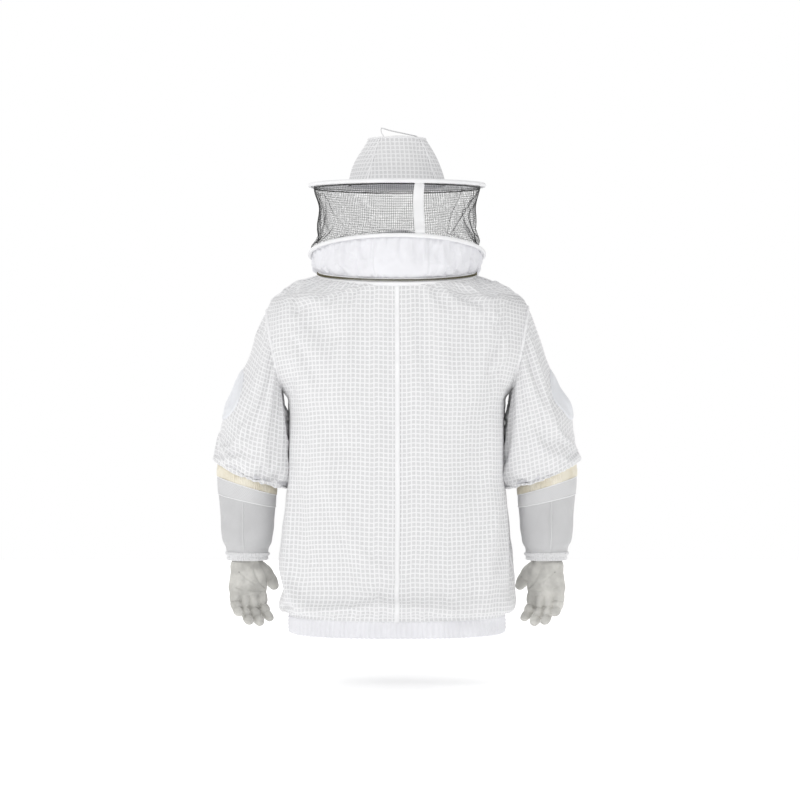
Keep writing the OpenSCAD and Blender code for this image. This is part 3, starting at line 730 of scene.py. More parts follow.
def add_folds(grid):
    """Gathers above the hem, soft vertical folds and slanting drapes under the arms."""
    gather_size, gather_reach, puff_size, fold_size, slant_size = 5.0, 55, 5.5, 3.4, 2.2
    out = normals(grid, closed=True)
    x, y, z = np.moveaxis(grid, -1, 0)
    aside = np.abs(x)
    around = turns(grid.shape[1])
    gathers = ripple(around * 34, 3, 6, 0.5)[None] * np.exp(-(z - HEM_TOP) / gather_reach) * gather_size
    puff = np.exp(-((z - 66) / 26) ** 2) * puff_size
    long_folds = ripple(around * 9 + 0.5, 11, 5, 0.5)[None] * smoothstep(620, 480, z)
    long_folds = long_folds * smoothstep(60, 160, z) * fold_size
    slant = np.sin((z * 0.9 + aside * 1.7) / 34 + np.sign(y)) * smoothstep(110, 200, aside)
    slant *= smoothstep(640, 500, z) * smoothstep(250, 400, z) * slant_size
    lumps = noise_at(grid, 95, 7.0) * 4.5 + noise_at(grid, 42, 2.0) * 1.8
    fade = smoothstep(NECK_EDGE_Z, 660, z) * smoothstep(HEM_TOP - 2, HEM_TOP + 18, z)
    fade = fade * (1 - 0.6 * smoothstep(170, 120, aside) * smoothstep(380, 420, z) * (y < 0))
    puff = puff + 4.5 * smoothstep(150, 195, aside) * smoothstep(300, 350, z) * smoothstep(470, 430, z)
    return grid + out * ((gathers + puff + long_folds + slant + lumps * 0.8) * fade)[..., None]


def drape_torso(grid):
    """The jacket hung as cloth, held at its edges, armholes, zip and flaps."""
    middle, size = ARMHOLE
    across, depth, z = np.moveaxis(np.abs(grid), -1, 0)
    in_front = grid[..., 1] < 0
    held = np.zeros(grid.shape[:2])
    held[0] = held[-1] = 1
    held[1] = held[-2] = 0.6
    arm = np.hypot((z - middle[1]) / size[1], (across - middle[0]) / size[0])
    still = (arm < 1.25) & (depth < 110) | (across < ZIP_HELD) & in_front
    for node in ("chest_pocket_flap", "neck_flap"):
        low, high = (np.array(corner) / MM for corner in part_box(node))
        behind = (np.abs(grid - (low + high) / 2) < (high - low) / 2 + FLAP_MARGIN)[..., [0, 2]].all(-1)
        still |= behind & in_front
    held[still] = 1
    moved = drape(grid, held, slack=0.03, frames=14, gravity=0.6, bending=2.5)
    shift = np.clip(moved - grid, -DRAPE_LIMIT, DRAPE_LIMIT) * (held <= 0.99)[..., None]
    return grid + shift


torso = drape_torso(add_folds(torso_grid()))

# The armhole: a tilted plane cuts the jacket beside each shoulder.
ARM_MIDDLE = np.array([243.5, 0, 559])
ARM_UP = np.array([0.19, 0, 0.9818])
ARM_OUT = np.array([0.9818, 0, -0.19])


def cut_armholes(obj):
    """Trims the jacket at both armholes and returns the cut edge's points."""
    mesh = bmesh.new()
    mesh.from_mesh(obj.data)
    edge = {}
    for side, sign in SIDES:
        flip = np.array([sign, 1, 1])
        near = [f for f in mesh.faces if ARMHOLE_LOW < f.calc_center_median().z / MM < ARMHOLE_HIGH
                and f.calc_center_median().x * sign > 0]
        edges, corners = (e for f in near for e in f.edges), (v for f in near for v in f.verts)
        parts = dict.fromkeys([*near, *edges, *corners])      # each part once, and always in one order
        result = bmesh.ops.bisect_plane(mesh, geom=list(parts), plane_co=Vector(ARM_MIDDLE * flip * MM),
                                        plane_no=Vector(ARM_OUT * flip), clear_outer=True)
        points = [np.array(v.co) / MM for v in result["geom_cut"] if isinstance(v, bmesh.types.BMVert)]
        edge[side] = [p for p in points if p[2] > ARMHOLE_LOW]
    mesh.to_mesh(obj.data)
    mesh.free()
    return edge


def wrap_end(grid):
    """A closed grid with its first column repeated at the end, so that spans may run to it."""
    return np.concatenate([grid, grid[:, :1]], axis=1)


def make_panel(name, middle, sign, reach_from, cols, *nodes):
    """Panel of waffle mesh: cells of one size, level from the hem up, cut at the side seams and neck."""
    half = HALF_COLS // 2
    down = lengths(wrap_end(torso))
    k_v, k_u = cell_lines(int(down[-1].max() // PITCH) + 1), cell_lines(cols)
    level = k_v * PITCH
    up = np.stack([np.interp(level, line, np.arange(TORSO_ROWS)) for line in down.T], 1)
    edge = wrap_end(torso)[:, int(middle) - half:int(middle) + half + 1]
    column = np.interp(up[:, int(middle)], np.arange(TORSO_ROWS), lengths(edge, axis=1)[:, -1]) / HALF_COLS
    offset = (reach_from + k_u * PITCH)[None] / column[:, None] * sign
    u = middle + np.clip(offset, -half, half)
    low = np.minimum(u.astype(int), HALF_COLS * 2 - 1)
    share = u - low
    v = np.take_along_axis(up, low, 1) * (1 - share) + np.take_along_axis(up, low + 1, 1) * share
    inside = (np.abs(offset) < half) & (level[:, None] < np.interp(u, np.arange(HALF_COLS * 2 + 1), down[-1]))
    piece = waffle(name, body, v, u, k_v, k_u, MESH, flip=sign < 0, keep=face_any(inside, False),
                   closed=False)
    loops = cut_armholes(piece)
    ride(piece, "jacket", "mesh", *nodes)
    return loops


def make_body():
    front = HALF_COLS * 1.5
    loops = {side: [] for side, _ in SIDES}
    for found in (make_panel("jacket_back", HALF_COLS / 2, 1, -45 * PITCH, 90, "back_panel_left",
                             "back_panel_right"),
                  make_panel("jacket_front_left", front, 1, FRONT_ZIP_GAP, 44, "front_panel_left"),
                  make_panel("jacket_front_right", front, -1, FRONT_ZIP_GAP, 44, "front_panel_right")):
        for side, points in found.items():
            loops[side] += points
    return loops


body = Sheet(torso, closed=True)
armholes = make_body()


def armhole_ring(side, sign, count):
    """Evenly turned points on the armhole's cut edge, drawn for the wearer's left."""
    points = np.array(armholes[side]) * [sign, 1, 1] - ARM_MIDDLE
    up, across = points @ ARM_UP, points[:, 1]
    angle = np.arctan2(across, up) % (2 * math.pi)
    order = np.argsort(angle)
    angle, radius = angle[order], np.hypot(up, across)[order]
    wanted = np.arange(count) / count * 2 * math.pi
    r = np.interp(wanted, angle, radius, period=2 * math.pi)
    r = (np.roll(r, 1) + r * 2 + np.roll(r, -1)) / 4
    return (ARM_MIDDLE + ARM_UP * (r * np.cos(wanted))[:, None]
            + np.array([0, 1, 0]) * (r * np.sin(wanted))[:, None])

# ------------------------------------------------------------------ jacket details

BACK_U = HALF_COLS / 2
RIGHT_U = HALF_COLS
FRONT_U = HALF_COLS * 1.5
TOP_V = TORSO_ROWS - 1
ARMPIT_Z = 462
SHOULDER_Z = 659


def height_v(z, column):
    """Row number at which a column of the jacket reaches height z."""
    return np.interp(z, torso[:, column % torso.shape[1], 2], np.arange(TORSO_ROWS))


def make_seams():
    v = np.linspace(0, TOP_V, 260)
    bind("centre_seam", body, v, BACK_U, 5.0, 1.5, "jacket", nodes=("centre_back_seam",), pucker=0.12)
    sew("centre_stitches", [line_on(body, v, BACK_U, across, 1.5) for across in (-3.6, 3.6)], "jacket")
    for side, sign in SIDES:
        column = 0 if sign > 0 else RIGHT_U
        spans = {"side_seam_": (0, height_v(ARMPIT_Z, column)),
                 "shoulder_seam_": (height_v(SHOULDER_Z, column), TOP_V)}
        for name, (low, high) in spans.items():
            v = np.linspace(low, high, 150)
            bind(name + side, body, v, column, 4.0, 0.9, "jacket")
            sew(name + "stitches_" + side, [line_on(body, v, column, 2.2, 0.9)], "jacket")


def make_armhole_seams():
    for side, sign in SIDES:
        path = armhole_ring(side, sign, 240) * [sign, 1, 1]
        cord("armhole_seam_" + side, path, 3.4, "jacket", seed=4, pucker=0.10)


# Hem band: out and up positions of its cross-section, from the top of its outer face round to the inner one.
HEM_W = 214
HEM_D = 145
PLEATS = 118
PLEAT_DEPTH = 1.25
BAND_SWAY = 0.9
BAND_EDGE = 4           # below this height the pleats also pull the band's edge up and down
EDGE_DIP = 0.7
BAND_OUT = np.array([-1.5, 0.2, 2.2, 0.8, 2.8, 1.0, 3.0, 1.0, 2.8, 0.8, 1.8, -0.5, -4.5, -6.5, -7.0, -7.0,
                     -6.0, -4.0])
BAND_UP = np.array([36, 35, 31.5, 28, 24, 20.5, 17, 13, 9.5, 6, 3, 0.8, 0.8, 3, 12, 24, 33, 36])
PLEAT_SHARE = np.array([0.4, 0.8, 1, 0.5, 1, 0.5, 1, 0.5, 1, 0.6, 1, 1, 0.5, 0.2, 0, 0, 0, 0.2])


def make_hem():
    count = PLEATS * 8
    ring = torso_ring([0, 0, 0, HEM_W, HEM_D, HEM_D, 2.5], np.linspace(0, 2 * math.pi, 2881))
    path = even_points(ring, count)
    out = unit(np.cross(np.roll(path, -3, axis=0) - np.roll(path, 3, axis=0), [0, 0, 1.0]))
    turn = turns(count)
    pleat = np.sin(turn * PLEATS + 1.6 * ripple(turn * 23, 5, 4, 0.6))
    deep = 1 + 0.45 * ripple(turn * 41, 6, 4, 0.5)
    fold = (pleat * deep)[:, None] * PLEAT_SHARE * PLEAT_DEPTH
    sway = ripple(turn * 9, 9, 4, 0.5)[:, None] * BAND_SWAY
    lower = np.where(BAND_UP < BAND_EDGE, 1.0, 0.0) * (pleat * EDGE_DIP)[:, None]
    points = path[:, None] + out[:, None] * (BAND_OUT + fold + sway)[..., None]
    points[..., 2] = np.clip(BAND_UP + lower, 0, None)
    cloth("hem_gathered_band", np.swapaxes(points, 0, 1), COTTON, "jacket", "cotton", "hem_band",
          "hem_elastic", closed=True, closed_rows=True)


NECK_R = 157
NECK_Z = 716
NECK_BACK_TILT = math.radians(8.5)
NECK_FRONT_TILT = math.radians(28)
ROUND = np.linspace(0, 2 * math.pi, 240, endpoint=False)


def neck_point(angle, r, h):
    """Point by the neck zip, r from its axis and h above its plane; both may be one for each angle."""
    tilt = np.where(np.sin(angle) > 0, -NECK_BACK_TILT, NECK_FRONT_TILT)
    y = r * np.sin(angle)
    return np.stack([r * np.cos(angle), y * np.cos(tilt) - h * np.sin(tilt) * np.abs(np.sin(angle)),
                     NECK_Z + y * np.sin(tilt) + h * np.cos(tilt)], -1)


def hoop_point(angle, r, h, z, tilt):
    """Point by a tilted hoop, r from its axis and h above its plane."""
    return tilted(polar(r, angle, h), z, tilt)


ZIP_WIRE_R = 0.45


def coil(name, path, out, up, radius, pitch):
    """Zip teeth: one long coil wound about a path."""
    along = lengths(path)
    where = np.linspace(0, along[-1], int(along[-1] / pitch * 9))
    centre, out, up = (read_at(part, along, where) for part in (path, out, up))
    turn = where / pitch * 2 * math.pi
    line = centre + out * (radius[0] * np.cos(turn))[:, None] + up * (radius[1] * np.sin(turn))[:, None]
    return grid_object(name, np.swapaxes(tube_along(line, ZIP_WIRE_R, 5, closed=False), 0, 1), COIL,
                       closed_rows=True)


def make_neck_zip():
    loop = np.append(ROUND, ROUND[0] + 2 * math.pi)
    for name, home, low, high in (("lower", "jacket", -3.1, -1.1), ("upper", "veil", 3.1, 1.1)):
        places = ((-8, low), (-3, low), (0, low * 0.8), (0.8, high))
        cloth("neck_tape_" + name, [neck_point(loop, NECK_R + r, h) for r, h in places], BINDING, home,
              "zip_tape", "neck_zip_%s_tape" % name, thick=0.5, offset=0.0, flip=low > 0)
        height = 1.0 if low > 0 else -1.0
        path, out, up = (neck_point(loop, NECK_R + r, h)
                         for r, h in ((1.6, height), (2.6, height), (1.6, height + 1)))
        teeth = coil("neck_teeth_" + name, path, out - path, up - path, (1.15, 0.75), 2.1)
        ride(teeth, home, "zip_coil", "neck_zip_%s_coil" % name)
    places = ((-3, -3.6), (1.0, -4.0), (1.2, -7.5), (-0.5, -12))
    cloth("neck_facing", [neck_point(loop, NECK_R + r, h) for r, h in places], BINDING, "jacket", "cotton",
          thick=0.6, offset=0.0, flip=True)


COLLAR_R = 78
COLLAR_Z = 752
COLLAR_TILT = math.radians(12)
COLLAR_LOW = -22
COLLAR_HIGH = 27


def collar_point(angle, r, h):
    return hoop_point(angle, r, h, COLLAR_Z, COLLAR_TILT)


def make_collar():
    half_gap = math.radians(7)
    angle = np.linspace(-math.pi / 2 + half_gap, 1.5 * math.pi - half_gap, 60)
    rows = []
    for k in np.linspace(0, 1, 8):
        lean = 1.6 * ripple(angle * 7, 8, 4, 0.4) * k + ripple(angle * 15, 2, 4, 0.4) * k
        top = COLLAR_LOW + (COLLAR_HIGH - 1.5 + 1.5 * ripple(angle * 5, 3, 3, 0.4) - COLLAR_LOW) * k
        rows.append(collar_point(angle, COLLAR_R - 1.5 + lean - 1.2 * np.sin(k * math.pi), top))
    sheet = Sheet(np.array(rows))
    ride(thicken(waffle_all("collar_mesh", sheet, (6, 53), MESH), 1.6), "jacket", "mesh", "collar")
    edge = sheet.at(7.0, np.linspace(0, 59, 240))
    cord("collar_edge", edge, 2.0, "jacket", seed=12, pucker=0.15, closed=False)
    cord("collar_foot", collar_point(ROUND, COLLAR_R - 2, COLLAR_LOW - 1.5), 2.0, "jacket")
    outer = neck_point(ROUND, NECK_R - 8, -4)
    inner = collar_point(ROUND, COLLAR_R - 1, COLLAR_LOW - 3)
    yoke = []
    for k in np.linspace(0, 1, 14):
        pucker = ripple(ROUND * 26, 4, 5, 0.4) * 1.6 * math.sin(k * math.pi) ** 0.6
        sag = -6 * math.sin(k * math.pi)
        yoke.append(outer + (inner - outer) * k + points_of(0, 0, pucker + sag))
    cloth("neck_yoke_cloth", yoke, COTTON, "jacket", "cotton", "neck_yoke", thick=1.2, closed=True)


# ------------------------------------------------------------------ front of the jacket

ZIP_LOW = 44
ZIP_HIGH = 584
ZIP_Y = -146.6


def make_front_zip():
    z = np.linspace(ZIP_LOW, ZIP_HIGH, 90)
    leftward, forward = (np.tile(way, (len(z), 1)) for way in ([1.0, 0, 0], [0, -1.0, 0]))
    for side, sign in SIDES:
        tapes, coils = (("front_zip_tapes", "front_placket"), ("front_zip_coils",)) if sign > 0 else ((), ())
        x = np.array([3.0, 4.0, 9, 14, 17.6, 18.4]) * sign
        y = ZIP_Y - np.array([0.1, 0.9, 1.0, 1.0, 0.9, 0.0])
        rows = points_of(x, y - 0.25 * ripple(z / 14, 2, 4)[:, None], z[:, None])
        cloth("zip_tape_" + side, rows, BINDING, "jacket", "zip_tape", *tapes, thick=0.6, flip=sign > 0)
        path = points_of(1.75 * sign, ZIP_Y - 1.6, z)
        ride(coil("zip_teeth_" + side, path, leftward, forward, (1.15, 0.95), 1.9), "jacket", "zip_coil",
             *coils)
        sew("zip_stitches_" + side, [(points_of(15.5 * sign, ZIP_Y - 1.1, z), forward)], "jacket")
    guard_y = -FRONT + 4.4 + 0.5 * ripple(z / 20, 4, 4)[:, None]
    cloth("zip_guard", points_of(np.linspace(-22, 22, 7), guard_y, z[:, None]), COTTON, "jacket", "cotton",
          thick=1.2, flip=True)


def front_place(x, z):
    """Row and column numbers of the place on the jacket's front at x across and z up."""
    v = height_v(z, int(FRONT_U))
    span = np.arange(HALF_COLS, 2 * HALF_COLS + 1)
    return v, np.interp(x, spline(wrap_end(torso), v)[span, 0], span)


def patch_pocket(name, x_range, z_range, *nodes):
    """Patch of waffle mesh sewn on the front, with a bound top edge and stitched sides."""
    last = 13
    xs, zs = np.linspace(*x_range, last + 1), np.linspace(*z_range, last + 1)
    place = np.array([[front_place(x, z) for x in xs] for z in zs])
    k = np.linspace(0, 1, last + 1)
    edge = np.minimum(np.minimum(k, 1 - k)[None] * 9, 1) * np.minimum(k * 9, 1)[:, None]
    lift = 0.6 + 1.9 * edge + 1.4 * np.outer(np.sin(k * math.pi), np.sin(k * math.pi))
    sheet = Sheet(body.at(place[..., 0], place[..., 1], lift))
    cells = [round((high - low) / PITCH) for low, high in (z_range, x_range)]
    ride(waffle_all(name, sheet, cells, MESH), "jacket", "mesh", *nodes)
    across = np.linspace(0, last, 60)
    hem = ((-1.15, 0.2), (-1.1, 1.2), (-0.5, 1.5), (0, 1.4), (0, -2.0))
    band = [sheet.at(last + dv, across, up) for dv, up in hem]
    cloth(name + "_top_band", band, BINDING, "jacket", "cotton")
    inset = 0.55
    lines = [line_on(sheet, across, u, lift=0.3) for u in (inset, last - inset)]
    sew(name + "_stitches", lines + [line_on(sheet, inset, across, lift=0.3)], "jacket")


def flap(name, home, centre, turn, size, way, node):
    """Cotton flap with rounded lower corners, a turned edge and two rows of stitching.
    It hangs from its centre where way is -1 and stands up from it where way is 1."""
    width, drop = size
    cols, rows = 28, 16
    k, d = np.meshgrid(np.linspace(-1, 1, cols), np.linspace(0, 1, rows))
    corner = 9.0
    below = np.clip((d * drop - (drop - corner)) / corner, 0, 1)
    x = k * (width / 2 - corner * (1 - np.sqrt(1 - below**2)))
    lumps = noise_at(points_of(x, d * drop, 0), 16, 3.0)
    y = -0.2 - (0.9 * np.sin(d * math.pi) * (1 - k**2) + 0.35 * lumps)
    c, s = math.cos(turn), math.sin(turn)
    points = points_of(centre[0] + x * c - y * s, centre[1] + x * s + y * c, centre[2] + way * d * drop)
    cloth(name, points, COTTON, home, "cotton", node, thick=1.4, flip=way < 0)
    sheet = Sheet(points, flip=way < 0)
    lines = []
    for inner in (1.0, 2.2):
        foot, right = rows - 1 - inner, cols - 1 - inner
        lines += [line_on(sheet, np.linspace(0.4, foot, 40), u) for u in (inner, right)]
        lines.append(line_on(sheet, foot, np.linspace(inner, right, 80)))
    sew(name + "_stitches", lines, home, lift=0.2)


make_seams()
make_armhole_seams()
make_hem()
make_neck_zip()
make_collar()
make_front_zip()
patch_pocket("hip_pocket_left", (34, 158), (70, 225), "hip_pockets")
patch_pocket("hip_pocket_right", (-158, -34), (70, 225))
patch_pocket("chest_pocket_left", (42, 132), (420, 526), "chest_pocket")
flap("chest_flap", "pocket_flap", (88, -150.6, 540), math.radians(12), (98, 40), -1, "chest_pocket_flap")
flap("neck_tab_cloth", "neck_tab", (0, -152.7, 612), 0.0, (60, 38), 1, "neck_flap")

# ------------------------------------------------------------------ sleeves

# Sleeve rings from the armhole down to the hem: outer x, outer z, inner x, inner z, half depth
SLEEVE = np.array([
    [262, 652, 226, 466, 86],
    [286, 606, 216, 450, 85],
    [313, 542, 211, 425, 83],
    [334, 498, 209, 400, 80],
    [352, 462, 208, 375, 78],
    [361, 420, 209, 345, 76],
    [366, 380, 210, 312, 74],
    [367, 342, 212, 283, 72],
])
SLEEVE_END = len(SLEEVE) - 1
SLEEVE_COLS = 84
SLEEVE_ROWS = 50
SLEEVE_CELLS = 56
SLEEVE_DRAPE_LIMIT = 8
HEM_ROLL = ((-4, 1.5), (-6.5, 5.0), (-5.5, 9.0), (-2.0, 11.0))     # down and in, after the hem's edge
CASING = ((0.0, -1.8), (0.5, -3.4), (2, -6.5), (8, -7.0), (8, -5.5))    # rows up from the hem, and lift


def ring_points(ring, angles, grow=0.0):
    """Points on a sleeve or glove ring: 0 is the outer side and 90 degrees is the back."""
    ring = np.asarray(ring, float)[..., None, :]
    outer, inner = ring[..., 0:2], ring[..., 2:4]
    middle, half = (outer + inner) / 2, (outer - inner) / 2
    half = half * (1 + grow / np.linalg.norm(half, axis=-1, keepdims=True))
    c, s = np.cos(angles), np.sin(angles)
    xz = middle + half * c[:, None]
    return np.stack([xz[..., 0], (ring[..., 4] + grow) * s, xz[..., 1]], -1)


def sleeve_grid(side, sign):
    """The sleeve drawn for the wearer's left: rows down the arm, with a rolled hem at the end."""
    fold_size, armpit_size, elbow_size, sag_size, nearness = 3.2, 2.2, 2.2, 2.2, 4.0
    angles = turns(SLEEVE_COLS)
    s = np.linspace(0, SLEEVE_END, SLEEVE_ROWS)
    grid = ring_points(spline(SLEEVE, s), angles)
    bow = smoothstep(4.5, 7, s)[:, None] * (9 * np.cos(angles) ** 2 - 3)[None]
    grid[..., 2] += bow
    start = armhole_ring(side, sign, SLEEVE_COLS) - grid[0]
    grid = grid + start[None] * (1 - smoothstep(0, 1.3, s))[:, None, None]
    out = normals(grid, closed=True, flip=True)
    seed = 20 if sign > 0 else 50
    a = angles[None]
    down = s[:, None]
    fade = smoothstep(0, 0.8, down)
    long_folds = ripple(a * 5 + down * 0.5, seed, 4, 0.4) * fold_size * smoothstep(0.3, 2, down)
    inner = np.exp(-((a - math.pi) / 0.9) ** 2)
    armpit = np.sin((down * 2.6 - np.abs(a - math.pi) * 2.2) * 2.1 + seed) * inner * fade * armpit_size
    armpit = armpit * smoothstep(5.5, 2.5, down)
    elbow = np.sin(down * 3.3 + np.cos(a * 2 + seed) * 1.6) * np.exp(-((down - 4.4) / 1.3) ** 2) * elbow_size
    elbow = elbow * (0.4 + 0.6 * np.abs(np.sin(a)))
    lumps = noise_at(grid, 70, seed) * 5 + noise_at(grid, 30, seed + 3.0) * 1.8
    sag = smoothstep(5.2, 7, down) * (sag_size * ripple(a * 7, seed + 2, 4, 0.4))
    close = nearness * inner * smoothstep(0.5, 1.5, down)      # the sleeve rests against the jacket's side
    amount = (long_folds + elbow + lumps) * fade * (1 - 0.6 * inner) + armpit + close + sag
    grid = grid + out * amount[..., None]
    held = np.zeros(grid.shape[:2])
    held[:2] = 1
    held[-1] = 0.8
    moved = drape(grid, held, slack=0.035, frames=12, gravity=0.8, bending=2.0)
    grid = grid + np.clip(moved - grid, -SLEEVE_DRAPE_LIMIT, SLEEVE_DRAPE_LIMIT)
    hem = grid[-1]
    inward = unit(hem.mean(axis=0) - hem)
    along = unit(hem - grid[-4])
    roll = [hem - along * drop + inward * inset for drop, inset in HEM_ROLL]
    return np.concatenate([grid, np.array(roll)])


def split_line(angles):
    """How far down the sleeve the shoulder's share of the cloth ends and the elbow's begins."""
    return 3 - np.cos(angles)


def shoulder_share(s, angles):
    k = np.clip(s / (split_line(angles) - 0.25), 0, 1)
    return 0.5 * k + 0.5 * smoothstep(0, 1, k)


def elbow_share(s, angles):
    low = 3.7 - 0.55 * np.cos(angles)
    high = 6.2 - 0.6 * np.cos(angles)
    return smoothstep(low, high, s)


def face_means(values):
    """Mean over each face of a closed grid of values held at its points."""
    around = np.roll(values, -1, axis=1)
    return (values[:-1] + around[:-1] + around[1:] + values[1:]) / 4


def sleeve_places(grid):
    """Lattice of the sleeve's waffle: rows one cell apart up every line from the hem, cut at the armhole."""
    up = lengths(grid[::-1])
    k_u = cell_lines(SLEEVE_CELLS, closed=True)
    u = k_u / SLEEVE_CELLS * SLEEVE_COLS
    up = refine(np.repeat(up[..., None], 3, -1), np.arange(len(grid)), u, closed=True)[..., 0]
    rows = int(up[-1].max() // PITCH) + 1
    k_v = cell_lines(rows)
    back = np.stack([np.interp(k_v * PITCH, line, np.arange(len(grid))) for line in up.T], 1)
    inside = k_v[:, None] * PITCH < up[-1][None]
    return len(grid) - 1 - back, u[None] + 0 * back, k_v, k_u, inside


PATCH_MIDDLE = (3.45, math.radians(12))     # down the sleeve in rings, and round it
PATCH_HALF = (1.28, math.radians(35))


def on_patch(reach, phi):
    """Place at a share of the way from the elbow patch's middle to its edge: s and t, then v and u."""
    s = PATCH_MIDDLE[0] + reach * PATCH_HALF[0] * np.sin(phi)
    t = PATCH_MIDDLE[1] + reach * PATCH_HALF[1] * np.cos(phi)
    return s, t, s / SLEEVE_END * (SLEEVE_ROWS - 1), t / (2 * math.pi) * SLEEVE_COLS


def sleeve_patch(side, sheet, arm, forearm, sign):
    """Oval patch on the outer back of the elbow."""
    name = "elbow_patch_cloth_" + side
    k = np.concatenate([np.linspace(0.0, 0.94, 16), [0.965, 0.985, 1.0]])[:, None]
    s, t, v, u = on_patch(k, turns(72)[None])
    lift = np.where(k > 0.99, -0.8, np.where(k > 0.97, 0.6, 1.5))
    wrinkle = 0.5 * noise_at(sheet.at(v, u), 22, 5.0) * (1 - k**4)
    patch = grid_object(name, sheet.at(v, u, lift + wrinkle), PATCH, closed=True, flip=sign < 0)
    blend_by(patch, arm, forearm, elbow_share(s, t), "cotton", "elbow_patch_" + side)
    mirror = [sign, 1, 1]
    drawn = sheet.grid[:SLEEVE_ROWS].reshape(-1, 3) * mirror
    for number, reach in ((1, 0.90), (2, 0.84)):
        _, _, v, u = on_patch(reach, np.linspace(0, 2 * math.pi, 200))
        thread = stitches("%s_stitches_%d" % (name, number), [line_on(sheet, v, u, lift=1.5)], THREAD)
        places = np.array([p.co for p in thread.data.vertices]) / MM * mirror
        where = ((places[:, None] - drawn[None]) ** 2).sum(-1).argmin(axis=1)
        share = elbow_share(where // SLEEVE_COLS / (SLEEVE_ROWS - 1) * SLEEVE_END,
                            where % SLEEVE_COLS / SLEEVE_COLS * 2 * math.pi)
        blend_by(thread, arm, forearm, share, "cotton")


def make_sleeve(side, sign):
    arm, forearm = "upper_arm_" + side, "forearm_" + side
    grid = sleeve_grid(side, sign) * [sign, 1, 1]
    flip = sign > 0
    sheet = Sheet(grid, closed=True, flip=flip)
    v, u, k_v, k_u, inside = sleeve_places(grid)
    s, t = v / (SLEEVE_ROWS - 1) * SLEEVE_END, u / SLEEVE_COLS * 2 * math.pi
    above = face_means(s) < split_line(t[:-1] + math.pi / len(k_u))
    drawn = face_any(inside, True)
    upper = waffle("sleeve_upper_" + side, sheet, v, u, k_v, k_u, MESH, not flip, drawn & above,
                   shoulder_share(s, t))
    blend_by(upper, "jacket", arm, None, "mesh", "sleeve_head_" + side, "upper_sleeve_" + side)
    lower = waffle("sleeve_lower_" + side, sheet, v, u, k_v, k_u, MESH, not flip, drawn & ~above,
                   elbow_share(s, t))
    blend_by(lower, arm, forearm, None, "mesh", "elbow_fold_" + side, "lower_sleeve_" + side)
    sleeve_patch(side, sheet, arm, forearm, sign)
    angle = turns(240)
    gather = ripple(angle * 60, 3, 5, 0.3) * 0.8
    casing = [sheet.at(len(grid) - 1 - up, angle / (2 * math.pi) * SLEEVE_COLS, lift + gather)
              for up, lift in CASING]
    cloth("sleeve_casing_" + side, casing, COTTON, forearm, "cotton", "sleeve_cuff_" + side, closed=True,
          flip=not flip)


for side_name, side_sign in SIDES:
    make_sleeve(side_name, side_sign)

# ------------------------------------------------------------------ gloves

# Glove rings from the gauntlet's top to the wrist, in the sleeve rings' form
GLOVE = np.array([
    [354, 352, 242, 306, 57],
    [359, 304, 241, 268, 56],
    [354, 245, 244, 228, 52],
    [351, 192, 249, 186, 47],
    [340, 160, 258, 158, 38],
    [336, 142, 262, 142, 32],
])
GLOVE_COLS = 72
CUFF_END = 0.9
BAND_END = 1.5
WRIST = np.array([299, 0, 142])
HAND_TURN = math.radians(38)
# Fingers: knuckle x, knuckle z, splay in degrees, bone lengths, base radius, tip radius
FINGERS = (
    (-32, -66, -5, (26, 19, 13), 12.5, 9.5),
    (-11, -70, -1, (28, 21, 13), 12.5, 9.5),
    (10, -68, 2, (27, 20, 13), 12.0, 9.5),
    (30, -60, 6, (22, 16, 12), 11.5, 9.0),
)
FINGER_CURL = (8, 24, 26)
THUMB = ((-28, 2, -18), (-54, -6, -34), (-72, -12, -56))
THUMB_R = (17, 13.5, 10.5)


def glove_sheet(sign, s_from, s_to, rows, wrinkle, seed, grow=0.0):
    """Part of the gauntlet with soft folds, as a sheet."""
    angles = turns(GLOVE_COLS)
    s = np.linspace(s_from, s_to, rows)
    grid = ring_points(spline(GLOVE, s), angles, grow)
    out = normals(grid, closed=True, flip=True)
    lumps = noise_at(grid * [1, 1, 0.55], 46, seed) * 2.0 + noise_at(grid, 20, seed + 4) * 0.55
    folds = ripple(angles * 6 + 1.3, seed, 4, 0.4)[None] * (0.3 + 0.7 * smoothstep(1.5, 4, s))[:, None]
    creases = np.sin(s[:, None] * 8 + np.cos(angles * 2 + seed)) * 0.8 * smoothstep(2.2, 3.9, s)[:, None]
    amount = (lumps + folds + creases) * wrinkle
    return Sheet((grid + out * amount[..., None]) * [sign, 1, 1], closed=True, flip=sign > 0)


def ribbed(name, sheet, ribs, profile, depth, material, seed, sign, slot, node):
    """Gathered elastic ring: ribs run down it, and the profile says how far each row stands out."""
    phase = turns(ribs * 6)
    u = np.arange(ribs * 6) / (ribs * 6) * GLOVE_COLS
    uneven = 1 + 0.35 * ripple(phase * 31, seed + 1, 4, 0.5)
    rib = np.sin(phase * ribs + 1.4 * ripple(phase * 17, seed, 4, 0.5)) * uneven
    side = "left" if sign > 0 else "right"
    cloth(name + side, [sheet.at(v, u, lift + rib * depth * share) for v, lift, share in profile], material,
          "glove_" + side, slot, node + side, thick=0.8, closed=True, flip=sign > 0)


GAUNTLET_END = 4.0      # glove ring at which the gathers of the wrist begin
GLOVE_ROWS = 90
GLOVE_RING = around_to(GLOVE_COLS, 260)
